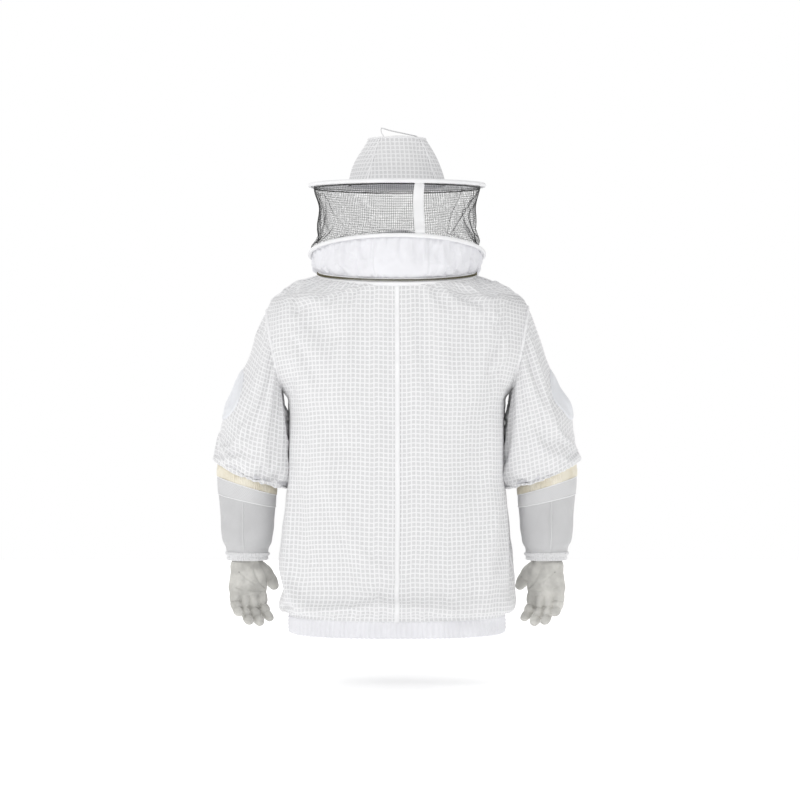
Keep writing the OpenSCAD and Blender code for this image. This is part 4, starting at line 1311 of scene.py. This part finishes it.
# Rows of the elastic rings: row number, lift and share of the ribs' depth
CUFF_PROFILE = ((0, -2.5, 0.3), (0, -0.4, 0.9), (0.6, 0.9, 1), (2, 1.0, 0.6), (3, 1.3, 1), (4.5, 1.0, 0.6),
                (5.5, 1.3, 1), (7, 1.0, 0.6), (8, 1.3, 1), (9.5, 0.9, 0.8), (10.4, 0.4, 0.9),
                (11, -0.6, 0.8))
WRIST_PROFILE = ((0, -1.6, 0.2), (0, 0.6, 0.6), (0.8, 2.0, 1), (2, 2.6, 1), (3.4, 1.2, 0.7),
                 (4.6, 0.6, 0.6), (5.6, 1.8, 0.9), (7, 2.4, 1), (8.6, 1.6, 0.9), (9.8, 0.6, 0.7),
                 (10.6, 0.2, 0.6), (11, -1.4, 0.3))
# Lengths of perforated mesh: names, first and last ring, lift, material, distance of the holes, slot
GLOVE_SPANS = (
    ("glove_mesh_ring_", "glove_mesh_band_", CUFF_END - 0.02, BAND_END, 0.4, PERFORATED, 3.2, "mesh"),
    ("gauntlet_mesh_", "gauntlet_", BAND_END - 0.01, GAUNTLET_END + 0.05, 0.0, SPACER, 1.9, "gauntlet"),
)


def make_gauntlet(side, sign):
    home = "glove_" + side
    top = glove_sheet(sign, 0.0, CUFF_END, 12, 0.6, 3)
    ribbed("glove_cuff_elastic_", top, 96, CUFF_PROFILE, 0.95, ELASTIC, 3, sign, "elastic", "glove_cuff_")
    wall = glove_sheet(sign, 0.0, GAUNTLET_END, GLOVE_ROWS, 1.0, 7)
    per_row = GAUNTLET_END / (GLOVE_ROWS - 1)
    for name, node, low, high, lift, material, pitch, slot in GLOVE_SPANS:
        v = np.linspace(low, min(high, GAUNTLET_END), int((high - low) * 60)) / per_row
        points = wall.at(v[:, None], GLOVE_RING, lift)
        around, down = lengths(points[0])[-1], lengths(points[:, 0])[-1]
        cells = (GLOVE_RING / GLOVE_COLS * round(around / pitch), np.linspace(0, down / pitch, len(v)))
        cloth(name + side, points, material, home, slot, node + side, thick=1.2, closed=True, flip=sign > 0,
              uv=cells)
    for label, s in (("upper", CUFF_END - 0.01), ("lower", BAND_END - 0.005)):
        cord("glove_seam_%s_%s" % (label, side), wall.at(s / per_row, GLOVE_RING, 0.8), 0.8, home, "mesh",
             seed=5, pucker=0.12)
    v = np.linspace(BAND_END, GAUNTLET_END - 0.02, 90) / per_row
    seam_u = GLOVE_COLS * 0.235
    bind("gauntlet_seam_" + side, wall, v, seam_u, 1.7, 1.0, home, "gauntlet", material=SPACER)
    threads = [line_on(wall, v, seam_u, across, 0.1) for across in (-3.4, 3.4)]
    sew("gauntlet_stitches_" + side, threads, home, "gauntlet", lift=0.25)
    wrist = glove_sheet(sign, GAUNTLET_END, 5.0, 12, 0.5, 9, grow=0.5)
    ribbed("wrist_gathers_", wrist, 64, WRIST_PROFILE, 1.1, PERFORATED_FINE, 6, sign, "gauntlet",
           "wrist_elastic_")


def finger_joints(finger):
    knuckle_x, knuckle_z, splay, bones, base_r, tip_r = finger
    points, curl = [np.array([knuckle_x, 0.0, knuckle_z])], 0
    for bend, length in zip(FINGER_CURL, bones):
        curl += bend
        a, b = math.radians(splay), math.radians(curl)
        points.append(points[-1] + length * np.array([math.sin(a), math.sin(b), -math.cos(b)]))
    return points, (base_r, base_r - 1, tip_r + 0.5, tip_r)


def bone_balls(joints, radii, count, thin, pad):
    """Balls along the bones from joint to joint, a little fuller at each bone's middle."""
    return [(joints[i] + (joints[i + 1] - joints[i]) * k,
             (radii[i] + (radii[i + 1] - radii[i]) * k) * (thin + pad * math.sin(math.pi * k)))
            for i in range(len(joints) - 1) for k in np.linspace(0, 1, count)]


def hand_balls():
    """Balls that fill the hand: (place, radius), close enough together to merge into one skin."""
    balls = []
    for finger in FINGERS:
        balls += bone_balls(*finger_joints(finger), 8, 0.94, 0.09)
    return balls + bone_balls(np.array(THUMB, float), THUMB_R, 9, 0.95, 0.08)


def hull_of(balls):
    shape = bmesh.new()
    for place, radius in balls:
        bmesh.ops.create_uvsphere(shape, u_segments=20, v_segments=14, radius=radius,
                                  matrix=Matrix.Translation(Vector(place)))
    found = bmesh.ops.convex_hull(shape, input=shape.verts)
    loose = dict.fromkeys(found["geom_interior"] + found["geom_unused"])
    bmesh.ops.delete(shape, geom=[g for g in loose if isinstance(g, bmesh.types.BMVert)], context="VERTS")
    return shape


def palm_balls():
    balls = [((f[0] * 0.95, 0, f[1] + 6), 13.6) for f in FINGERS]
    balls += [((x, 0, -12), 18.5) for x in (-18, 18)]
    return balls + [((-20, 5, -34), 17.5), ((22, 3, -36), 16.5), ((0, 0, 6), 22)]


HAND_VOXEL = 1.5


def hand_mesh():
    """The hand as one smooth skin, about the wrist and in millimetres, palm towards +Y."""
    shape = hull_of(palm_balls())
    for place, radius in hand_balls():
        bmesh.ops.create_icosphere(shape, subdivisions=3, radius=radius,
                                   matrix=Matrix.Translation(Vector(place)))
    mesh = bpy.data.meshes.new("hand")
    shape.to_mesh(mesh)
    shape.free()
    obj = bpy.data.objects.new("hand", mesh)
    bpy.context.scene.collection.objects.link(obj)
    remesh = obj.modifiers.new("skin", "REMESH")
    remesh.mode = "VOXEL"
    remesh.voxel_size = HAND_VOXEL
    smooth = obj.modifiers.new("smooth", "SMOOTH")
    smooth.factor = 0.7
    smooth.iterations = 7
    final = bpy.data.meshes.new_from_object(obj.evaluated_get(bpy.context.evaluated_depsgraph_get()))
    bpy.data.objects.remove(obj)
    return final


def groove(points, path, depth, width):
    """How deep a crease along a path cuts at each point."""
    near = np.full(len(points), 1e9)
    for a in spline(path, np.linspace(0, len(path) - 1, 60)):
        near = np.minimum(near, ((points - a) ** 2).sum(axis=1))
    return -depth * np.exp(-near / width**2)


def ring_crease(points, centre, direction, radius, depth, width):
    """A crease right round a finger at one joint."""
    direction = direction / np.linalg.norm(direction)
    offset = points - centre
    along = offset @ direction
    away = np.linalg.norm(offset - along[:, None] * direction, axis=1)
    return -depth * np.exp(-(along / width) ** 2) * smoothstep(radius * 1.5, radius * 1.1, away)


# Leather creases over the palm and the thumb's root: path, depth and width
GROOVES = (
    (((-44, 12, -62), (-22, 16, -63), (0, 16.5, -61), (20, 16, -58), (42, 12, -50)), 2.0, 2.0),
    (((-6, 24, -4), (-2, 24, -20), (-16, 22, -44), (-34, 14, -56)), 1.9, 2.4),
    (((34, 17, -18), (16, 21, -34), (-4, 20, -46)), 1.1, 2.2),
    (((-34, 12, -8), (-42, 8, -20), (-44, 4, -34)), 1.5, 2.0),
)
CREASE_GAIN = 1.5


def hand_creases(points):
    """Leather creases: round the finger joints, across the knuckles, over the palm and at the thumb."""
    amount = np.zeros(len(points))
    for finger in FINGERS:
        joints, radii = finger_joints(finger)
        for i, depth in ((1, 1.9), (2, 1.5)):
            palm_side = 0.4 + 0.6 * smoothstep(joints[i][1] - 6, joints[i][1] + 4, points[:, 1])
            step = joints[i + 1] - joints[i - 1]
            for shift, share, width in ((0, 1, 1.6), (-4.2, 0.3, 1.1), (4.4, 0.3, 1.1)):
                centre = joints[i] + step / np.linalg.norm(step) * shift
                amount += ring_crease(points, centre, step, radii[i], depth * share, width) * palm_side
    thumb = np.array(THUMB, float)
    amount += ring_crease(points, thumb[1], thumb[2] - thumb[0], THUMB_R[1], 1.6, 1.7)
    for path, depth, width in GROOVES:
        amount += groove(points, path, depth, width)
    amount += noise_at(points, 17, 4.0) * 1.2 + noise_at(points, 7, 8.0) * 0.35
    return amount * CREASE_GAIN


def hand_place(points, sign):
    c, s = math.cos(HAND_TURN), math.sin(HAND_TURN)
    x, y, z = points.T
    return (np.stack([x * c - y * s, x * s + y * c, z], -1) + WRIST) * [sign, 1, 1]


def surface_line(tree, path, lift=0.2):
    """Drops a path onto the hand and returns it with its normals."""
    found = [tree.find_nearest(Vector(p))[:2] for p in spline(path, np.linspace(0, len(path) - 1, 60))]
    outward = np.array([n for _, n in found])
    return np.array([where for where, _ in found]) + outward * lift, outward


# Seams of the leather, drawn near its surface and dropped onto it
HAND_SEAMS = (
    *(((x + 11, 2, z - 4), (x + 11.5, 6, z - 24), (x + 12, 20, z - 44)) for x, z, *_ in FINGERS[:3]),
    ((44, 4, 0), (46, 6, -26), (46, 4, -52)),
    ((44, 6, -48), (46, 12, -74), (44, 24, -92)),
    ((-40, 6, -4), (-58, 2, -28), (-76, -4, -54)),
    ((-38, 14, -59), (0, 20, -57), (40, 14, -47)),
)
BARTACK = ((33, 20, -22), (35, 20, -22))
BARTACK_HALF = 1.8


def mesh_vectors(mesh, kind):
    flat = np.zeros(len(mesh.vertices) * 3, np.float32)
    mesh.vertices.foreach_get(kind, flat)
    return flat.reshape(-1, 3).astype(float)


def make_hands():
    skin = hand_mesh()
    points = mesh_vectors(skin, "co")
    points = points + mesh_vectors(skin, "normal") * hand_creases(points)[:, None]
    faces = [tuple(p.vertices) for p in skin.polygons]
    tree = BVHTree.FromPolygons(points.tolist(), faces)
    seams = [surface_line(tree, path) for path in HAND_SEAMS]
    place, n = (found[0] for found in surface_line(tree, BARTACK, 0.1))
    bars = [(np.array([place + [-BARTACK_HALF, 0, h], place + [BARTACK_HALF, 0, h]]), np.array([n, n]))
            for h in (0, 0.8, 1.6)]
    forms = (("glove_stitches_", seams, SEAM_THREAD, {"pitch": 2.6, "length": 1.9, "thick": 0.28}),
             ("glove_bartack_", bars, DARK_THREAD, {"pitch": 3.5, "length": 3.2, "thick": 0.35}))
    for side, sign in SIDES:
        turned = faces if sign > 0 else [f[::-1] for f in faces]
        hand = new_object("glove_leather_" + side, hand_place(points, sign), turned, LEATHER)
        ride(hand, "glove_" + side, "leather", "glove_hand_" + side)
        for name, lines, thread, form in forms:
            moved = [(hand_place(line, sign), hand_place(m, sign) - hand_place(m * 0, sign))
                     for line, m in lines]
            sew(name + side, moved, "glove_" + side, "leather", thread, lift=0.3, **form)


for side_name, side_sign in SIDES:
    make_gauntlet(side_name, side_sign)
make_hands()

# ------------------------------------------------------------------ veil

HOOP_R = 174
CASING_R = 4
HOOP_Z = 752
HOOP_TILT = math.radians(8.6)
BRIM_Z = 891
BRIM_TILT = math.radians(-3)
SKIRT_TOP_R = HOOP_R - CASING_R - 1.5
SKIRT_SWELL = 7         # how far the skirt stands out at half its height
SKIRT_PANEL_HALF = 53   # half width of the plain panel at the back
BACK_ANGLE = math.pi / 2


def angle_gap(a, b):
    return np.abs((a - b + math.pi) % (2 * math.pi) - math.pi)


def make_skirt():
    cols, rows = 220, 26
    last = rows - 1
    angle = turns(cols)
    k = np.linspace(0, 1, rows)[:, None]
    swell = SKIRT_SWELL * np.sin(k * math.pi)
    low = neck_point(angle, NECK_R - 4.5, 4.4)
    high = hoop_point(angle, SKIRT_TOP_R, 0, HOOP_Z, HOOP_TILT)
    grid = low + (high - low) * k[..., None]
    out = normals(grid, closed=True)
    rumple = smoothstep(0.28, 0.55, angle_gap(angle, BACK_ANGLE))[None]
    folds = ripple(angle * 17, 31, 6, 0.6)[None] * 2.2 + ripple(angle * 8, 32, 4, 0.5)[None] * 2.4
    slanted = np.sin(angle[None] * 21 + k * 5 + 2 * ripple(angle * 3, 33, 3)[None]) * 1.6
    lumps = noise_at(grid, 34, 6.0) * 5 + noise_at(grid, 15, 9.0) * 2
    bend = np.sin(k * math.pi) ** 0.7
    grid = grid + out * (swell + (folds + slanted + lumps) * rumple * bend * 0.9)[..., None]
    held = np.zeros((rows, cols))
    held[0] = held[-1] = 1
    moved = drape(grid, held, slack=0.09, frames=16, gravity=0.9, bending=0.25)
    limit = 3 + 8 * rumple[..., None]
    grid = grid + np.clip(moved - grid, -limit, limit)
    sheet = Sheet(grid, closed=True)
    fine = refine(grid, np.linspace(0, last, 60), around_to(cols, 660), closed=True)
    cloth("veil_skirt_cloth", fine, COTTON, "veil", "cotton", "veil_skirt", thick=0.9, closed=True)
    middle = cols * (BACK_ANGLE + math.radians(3)) / (2 * math.pi)
    half = SKIRT_PANEL_HALF / (2 * math.pi * 165) * cols
    inner = half - 0.15
    u = np.concatenate([[middle - half], np.linspace(middle - inner, middle + inner, 40), [middle + half]])
    v = np.linspace(0.3, last - 0.4, 30)[:, None]
    lift = np.where((u == u[0]) | (u == u[-1]), -0.3, 1.3)
    cloth("veil_skirt_panel", sheet.at(v, u, lift), COTTON, "veil", "cotton")
    v = np.linspace(0.5, last - 0.6, 60)
    lines = [line_on(sheet, v, middle + sign * (half - 0.45), lift=1.3) for sign in (1, -1)]
    lines += [line_on(sheet, v, around_to(cols, 500)) for v in (last - 0.7, 1.2)]
    sew("veil_skirt_stitches", lines, "veil")


def make_hoop(name, home, z, tilt, seed, node):
    path = hoop_point(around_to(2 * math.pi, 500), HOOP_R, 0.0, z, tilt)
    cord(name, path, CASING_R, home, nodes=(node,), seed=seed, pucker=0.07, sides=14)


NET_ROWS = 35
NET_COLS = 260
NET_FOOT = HOOP_R - CASING_R - 3.2
NET_WAIST = 152
NET_WAIST_K = 0.7       # share of the height at which the waist lies
NET_TOP = 166
NET_TAPE_TURN = 105 / 360
NET_DRAPE_LIMIT = 5
# Sharp folds in the netting: (angle in degrees, height share) at both ends, depth in millimetres
NET_FOLDS = (
    ((26, 0.80), (57, 0.06), 7),
    ((38, 0.30), (18, -0.05), 5),
    ((175, 1.0), (129, 0.10), 8),
    ((143, 0.92), (173, 0.02), 8),
    ((160, 0.75), (182, 0.35), 5),
    ((215, 0.95), (232, 0.1), 6),
    ((300, 0.9), (282, 0.05), 6),
    ((335, 0.9), (352, 0.15), 6),
    ((8, 0.95), (24, 0.5), 5),
)


def net_surface(angle, k):
    """The netting's smooth shape between the lower hoop and the brim."""
    below = np.sin(np.clip(k / NET_WAIST_K, 0, 1) * math.pi / 2) ** 2
    above = np.clip((k - NET_WAIST_K) / (1 - NET_WAIST_K), 0, 1) ** 1.5
    r = np.where(k < NET_WAIST_K, NET_FOOT + (NET_WAIST - NET_FOOT) * below,
                 NET_WAIST + (NET_TOP - NET_WAIST) * above)
    low = hoop_point(angle, r, 3.5, HOOP_Z, HOOP_TILT)
    high = hoop_point(angle, r, -3.0, BRIM_Z, BRIM_TILT)
    return low + (high - low) * k[..., None]


def net_grid():
    k, angle = np.meshgrid(np.linspace(0, 1, 30), turns(160), indexing="ij")
    grid = net_surface(angle, k)
    out = normals(grid, closed=True)
    free = np.sin(np.clip(k, 0, 1) * math.pi) ** 0.6
    depth = ripple(angle * 7, 41, 5, 0.5) * 2.5 + noise_at(grid, 45, 3.0) * 5
    for (a0, k0), (a1, k1), size in NET_FOLDS:
        a0, a1 = math.radians(a0), math.radians(a1)
        line = np.array([a1 - a0, (k1 - k0) * 0.8])
        offset = np.stack([(angle - a0 + math.pi) % (2 * math.pi) - math.pi, (k - k0) * 0.8], -1)
        along = np.clip(offset @ line / (line @ line), 0, 1)
        away = np.linalg.norm(offset - along[..., None] * line, axis=-1) * NET_WAIST
        depth = depth - size * np.clip(1 - away / 9, 0, 1)
    grid = grid + out * (depth * free)[..., None]
    held = np.zeros(k.shape)
    held[0] = held[-1] = 1
    moved = drape(grid, held, slack=0.04, frames=10, gravity=0.5, bending=0.08)
    return grid + np.clip(moved - grid, -NET_DRAPE_LIMIT, NET_DRAPE_LIMIT)


def threads(name, lines, radius, material):
    """Three-sided threads along many lines of the same length: (points, closed)."""
    vertices, faces, base = [], [], 0
    for points, closed in lines:
        tube = np.swapaxes(tube_along(points, radius, 3, closed), 0, 1)
        rows, cols = tube.shape[:2]
        faces += (np.array(grid_faces(rows, cols, closed, closed_rows=True)) + base).tolist()
        vertices.append(tube.reshape(-1, 3))
        base += rows * cols
    return new_object(name, np.concatenate(vertices), faces, material)


def make_net():
    grid = net_grid()
    rows, cols = grid.shape[:2]
    points = refine(grid, np.linspace(0, rows - 1, NET_ROWS), around_to(cols, NET_COLS), closed=True)
    lines = [(row, True) for row in points] + [(points[:, c], False) for c in range(NET_COLS)]
    net = threads("net_threads", lines, 0.26, NET)
    share = np.linspace(0, 1, NET_ROWS)
    shares = [np.full(3 * NET_COLS, k) for k in share] + [np.tile(share, 3)] * NET_COLS
    blend_by(net, "veil", "hat", np.concatenate(shares), "net", "netting")
    sheet = Sheet(grid, closed=True)
    v = np.linspace(0, rows - 1, 60)
    tape = tape_on("net_tape", sheet, v, NET_TAPE_TURN * cols, 10.5, 1.2, BINDING, 0.1)
    share = np.repeat(np.linspace(0, 1, 60), len(TAPE_ACROSS))
    blend_by(tape, "veil", "hat", share, "cotton", "net_back_tape")
    for edge, home, name in ((0.6, "veil", "low"), (rows - 1.6, "hat", "high")):
        cord("net_edge_" + name, sheet.at(edge, around_to(cols, 400)), 1.1, home, "net", material=NET,
             pucker=0.1, sides=6)


# ------------------------------------------------------------------ hat

CROWN_BASE = 98
CROWN_TOP = 57
CROWN_H = 92
CROWN_FOOT = 1.8
PANELS = 4
PANEL_TURN = math.radians(8)
CELL_STRETCH = 1.09     # length of the crown's slanting side for each millimetre of its height
SWEATBAND_R = 93.2


def set_uv(obj, pairs):
    """Gives each corner of the mesh the cell numbers of its point."""
    index = np.zeros(len(obj.data.loops), np.int32)
    obj.data.loops.foreach_get("vertex_index", index)
    layer = obj.data.uv_layers.new(name="cells")
    layer.data.foreach_set("uv", np.asarray(pairs, float).reshape(-1, 2)[index].ravel())


def dent(a, b):
    """Depth of the waffle's cells where a and b count the cells across and along."""
    sink = [smoothstep(0.40, 0.26, np.abs(value % 1 - 0.5)) for value in (a, b)]
    return sink[0] * sink[1] * CELL_DEPTH * 0.5


def at_brim(points):
    return tilted(points, BRIM_Z, BRIM_TILT)


def make_brim():
    count = 440
    r = np.linspace(CROWN_BASE - 2, HOOP_R - CASING_R + 1.5, 34)[:, None]
    flat = polar(r, turns(count)[None], 0.0)
    wave = 0.6 * noise_at(flat[::3, ::4], 60, 2.0)
    wave = refine(np.repeat(wave[..., None], 3, -1), np.linspace(0, wave.shape[0] - 1, len(r)),
                  around_to(wave.shape[1], count), closed=True)[..., 0]
    cells = flat[..., :2] / PITCH
    puff = 0.8 * np.sin(np.clip((r - CROWN_BASE) / (HOOP_R - CROWN_BASE), 0, 1) * math.pi)
    loop = np.append(turns(400), 0)
    for name, side, nodes in (("brim_top_", 1, ("brim",)), ("brim_under_", -1, ())):
        height = side * (1.2 + puff - dent(cells[..., 0], cells[..., 1])) + wave
        points = at_brim(points_of(flat[..., 0], flat[..., 1], height))
        piece = grid_object(name + "mesh", points, MESH, closed=True, flip=side > 0)
        set_uv(piece, cells)
        ride(piece, "hat", "mesh", *nodes)
        upward = np.tile([0, 0, float(side)], (len(loop), 1))
        rings = [(at_brim(polar(radius, loop, side * 2.1)), upward)
                 for radius in (CROWN_BASE + 8, CROWN_BASE + 30, CROWN_BASE + 52, HOOP_R - CASING_R - 5)]
        sew(name + "stitches", rings, "hat")


def make_crown():
    cols, rows = 330, 50
    angle = turns(cols)[None]
    k = np.linspace(0, 1, rows)[:, None]
    r = CROWN_BASE + (CROWN_TOP - CROWN_BASE) * k + 5 * np.sin(k * math.pi)
    z = CROWN_FOOT + (CROWN_H - CROWN_FOOT) * k
    half_panel = math.pi / PANELS
    in_panel = (angle - PANEL_TURN - BACK_ANGLE + half_panel) % (2 * half_panel) - half_panel
    a = in_panel * r / PITCH + 100.5      # a cell's middle lies on the panel's own middle
    b = z / PITCH * CELL_STRETCH + 0 * a
    pull = 1.6 * np.exp(-(np.abs(np.abs(in_panel) - half_panel) * r / 5) ** 2)
    lumps = 1.6 * np.sin(angle * 4 + 2 * k + 1) * np.sin(k * math.pi) + 1.0 * np.sin(angle * 9 + 5 * k)
    bulge = lumps * np.sin(k * math.pi) ** 0.5
    crown = grid_object("crown_mesh", at_brim(polar(r - dent(a, b) - pull + bulge, angle, z)), MESH,
                        closed=True)
    set_uv(crown, np.stack([a, b], -1))
    ride(crown, "hat", "mesh", "crown")
    sheet = Sheet(at_brim(polar(r - 1.0 + bulge, angle, z)), closed=True)
    v = np.linspace(0, rows - 1, 60)
    for number in range(PANELS):
        u = ((PANEL_TURN + BACK_ANGLE + (number + 0.5) * 2 * math.pi / PANELS) / (2 * math.pi)) % 1 * cols
        bind("crown_seam_%d" % (number + 1), sheet, v, u, 1.8, 0.7, "hat")


def make_crown_top():
    r = np.concatenate([np.linspace(0.02, CROWN_TOP - 3, 28),
                        [CROWN_TOP - 1.2, CROWN_TOP, CROWN_TOP + 0.3]])[:, None]
    flat = polar(r, turns(190)[None], 0.0)
    dome = CROWN_H + 0.5 + 5.5 * (1 - (r / CROWN_TOP) ** 2) + np.where(r > CROWN_TOP, -1.5, 0)
    cells = flat[..., :2] / PITCH + 0.5
    sunk = dent(cells[..., 0], cells[..., 1]) * smoothstep(CROWN_TOP, CROWN_TOP - 4, r)
    height = dome + 0.9 * noise_at(flat, 28, 5.0) - sunk
    points = at_brim(points_of(flat[..., 0], flat[..., 1], height))
    top = grid_object("crown_top_mesh", points, MESH, closed=True, flip=True)
    set_uv(top, cells)
    ride(top, "hat", "mesh", "crown_top")
    seams = (("crown_top_seam", CROWN_TOP + 0.2, CROWN_H - 0.2, 300, 1.9, 8),
             ("crown_foot_seam", CROWN_BASE + 0.6, 2.2, 360, 2.0, 9))
    for name, radius, z, count, thick, seed in seams:
        cord(name, at_brim(polar(radius, turns(count), z)), thick, "hat", seed=seed, pucker=0.12)


LOOP_FROM = -40
LOOP_TO = 32
LOOP_HALF = 7


def make_loop():
    """Cotton strap sewn across the crown's top, standing up at one end."""
    x = np.array([LOOP_FROM, LOOP_FROM + 3, -10, 14, LOOP_TO - 4, LOOP_TO, LOOP_TO - 1, LOOP_TO - 6], float)
    z = CROWN_H + np.array([4.6, 6.2, 12.0, 17.2, 21.4, 20.4, 12.0, 5.0])
    path = spline(points_of(x, 0, z), np.linspace(0, len(x) - 1, 50))
    y = np.linspace(-LOOP_HALF, LOOP_HALF, 7)
    points = at_brim(path[:, None] + points_of(0, y, 0.25 * np.cos(y / 2)) + [0, 8, 0])
    cloth("crown_strap", points, BINDING, "hat", "cotton", "crown_loop", thick=1.3, offset=0.0)
    sheet = Sheet(points)
    lines = [line_on(sheet, np.linspace(0.5, 48, 60), u, lift=0.6) for u in (0.7, 5.3)]
    sew("crown_strap_stitches", lines, "hat")


def make_sweatband():
    angle = turns(240)
    heights = np.array([-2.5, -3.4, -2.0, 4, 10, 16, 20.6, 21.0])
    out = np.array([1.2, 0.4, -0.6, -0.8, -0.8, -0.7, -0.5, 0.6])
    lean = SWEATBAND_R - 0.225 * (heights + 3)
    gathers = 0.4 * ripple(angle * 40, 3, 4, 0.3)
    rows = at_brim([polar(r + o + gathers, angle, h) for h, o, r in zip(heights, out, lean)])
    cloth("sweatband_cloth", rows, COTTON, "hat", "cotton", "sweatband", thick=0.8, closed=True, flip=True)


make_skirt()
make_hoop("lower_hoop_piping", "veil", HOOP_Z, HOOP_TILT, 3, "lower_hoop_casing")
make_hoop("brim_piping", "hat", BRIM_Z, BRIM_TILT, 5, "brim_binding")
make_net()
make_brim()
make_crown()
make_crown_top()
make_loop()
make_sweatband()

# ------------------------------------------------------------------ CAD parts that stay in view

METAL_NODES = ("front_zip_stops", "front_zip_slider", "front_zip_pull", "neck_slider_left",
               "neck_slider_right")
WIRE_NODES = ("lower_hoop_wire", "brim_wire")
for metal, metal_nodes in ((ZIP_METAL, METAL_NODES), (WIRE, WIRE_NODES)):
    for metal_node in metal_nodes:
        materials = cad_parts[metal_node].data.materials
        materials.clear()
        materials.append(metal)

# ------------------------------------------------------------------ stage, light and camera

FLOOR_Z = -0.10         # below the gloves when they are drawn off the sleeves
LENS = 90
AMBIENT = 0.64
EYE = (-0.006, 4.0, 0.462)


def make_stage():
    floor = bpy.data.materials.new("pale_floor")
    floor.use_nodes = True
    s = floor.node_tree.nodes["Principled BSDF"]
    s.inputs["Base Color"].default_value = (0.92, 0.92, 0.92, 1)
    s.inputs["Roughness"].default_value = 0.9
    s.inputs["Emission Color"].default_value = (1, 1, 1, 1)
    s.inputs["Emission Strength"].default_value = 0.42
    half = 3.0 / MM
    corners = np.array([[-half, -half, 0], [half, -half, 0], [half, half, 0], [-half, half, 0]])
    new_object("floor", corners + [0, 0, FLOOR_Z / MM], [(0, 1, 2, 3)], floor)


def area_light(name, place, target, size, power):
    light = bpy.data.lights.new(name, "AREA")
    light.shape = "DISK"
    light.size = size
    light.energy = power
    obj = bpy.data.objects.new(name, light)
    obj.location = place
    obj.rotation_euler = (Vector(target) - Vector(place)).to_track_quat("-Z", "Y").to_euler()
    bpy.context.scene.collection.objects.link(obj)


def make_light():
    middle = (0, 0, 0.5)
    area_light("key", (2.2, 2.8, 2.6), middle, 1.6, 40)
    area_light("side", (-3.0, 1.6, 1.4), middle, 2.0, 14)
    area_light("front", (0.8, -3.0, 2.2), middle, 2.2, 40)
    scene = bpy.context.scene
    scene.view_settings.view_transform = "Standard"
    scene.world = bpy.data.worlds.new("white_room")
    scene.world.use_nodes = True
    tree = scene.world.node_tree
    shade = tree.nodes["Background"]
    shade.inputs["Color"].default_value = (1, 1, 1, 1)
    seen = tree.nodes.new("ShaderNodeLightPath")
    strength = tree.nodes.new("ShaderNodeMapRange")
    strength.inputs["To Min"].default_value = AMBIENT
    strength.inputs["To Max"].default_value = 1.0
    tree.links.new(seen.outputs["Is Camera Ray"], strength.inputs["Value"])
    tree.links.new(strength.outputs["Result"], shade.inputs["Strength"])


def make_camera():
    camera = bpy.data.objects.new("camera", bpy.data.cameras.new("camera"))
    camera.data.lens = LENS
    camera.location = EYE
    camera.rotation_euler = (math.pi / 2, 0, math.pi)
    bpy.context.scene.collection.objects.link(camera)
    bpy.context.scene.camera = camera


make_stage()
make_light()
make_camera()
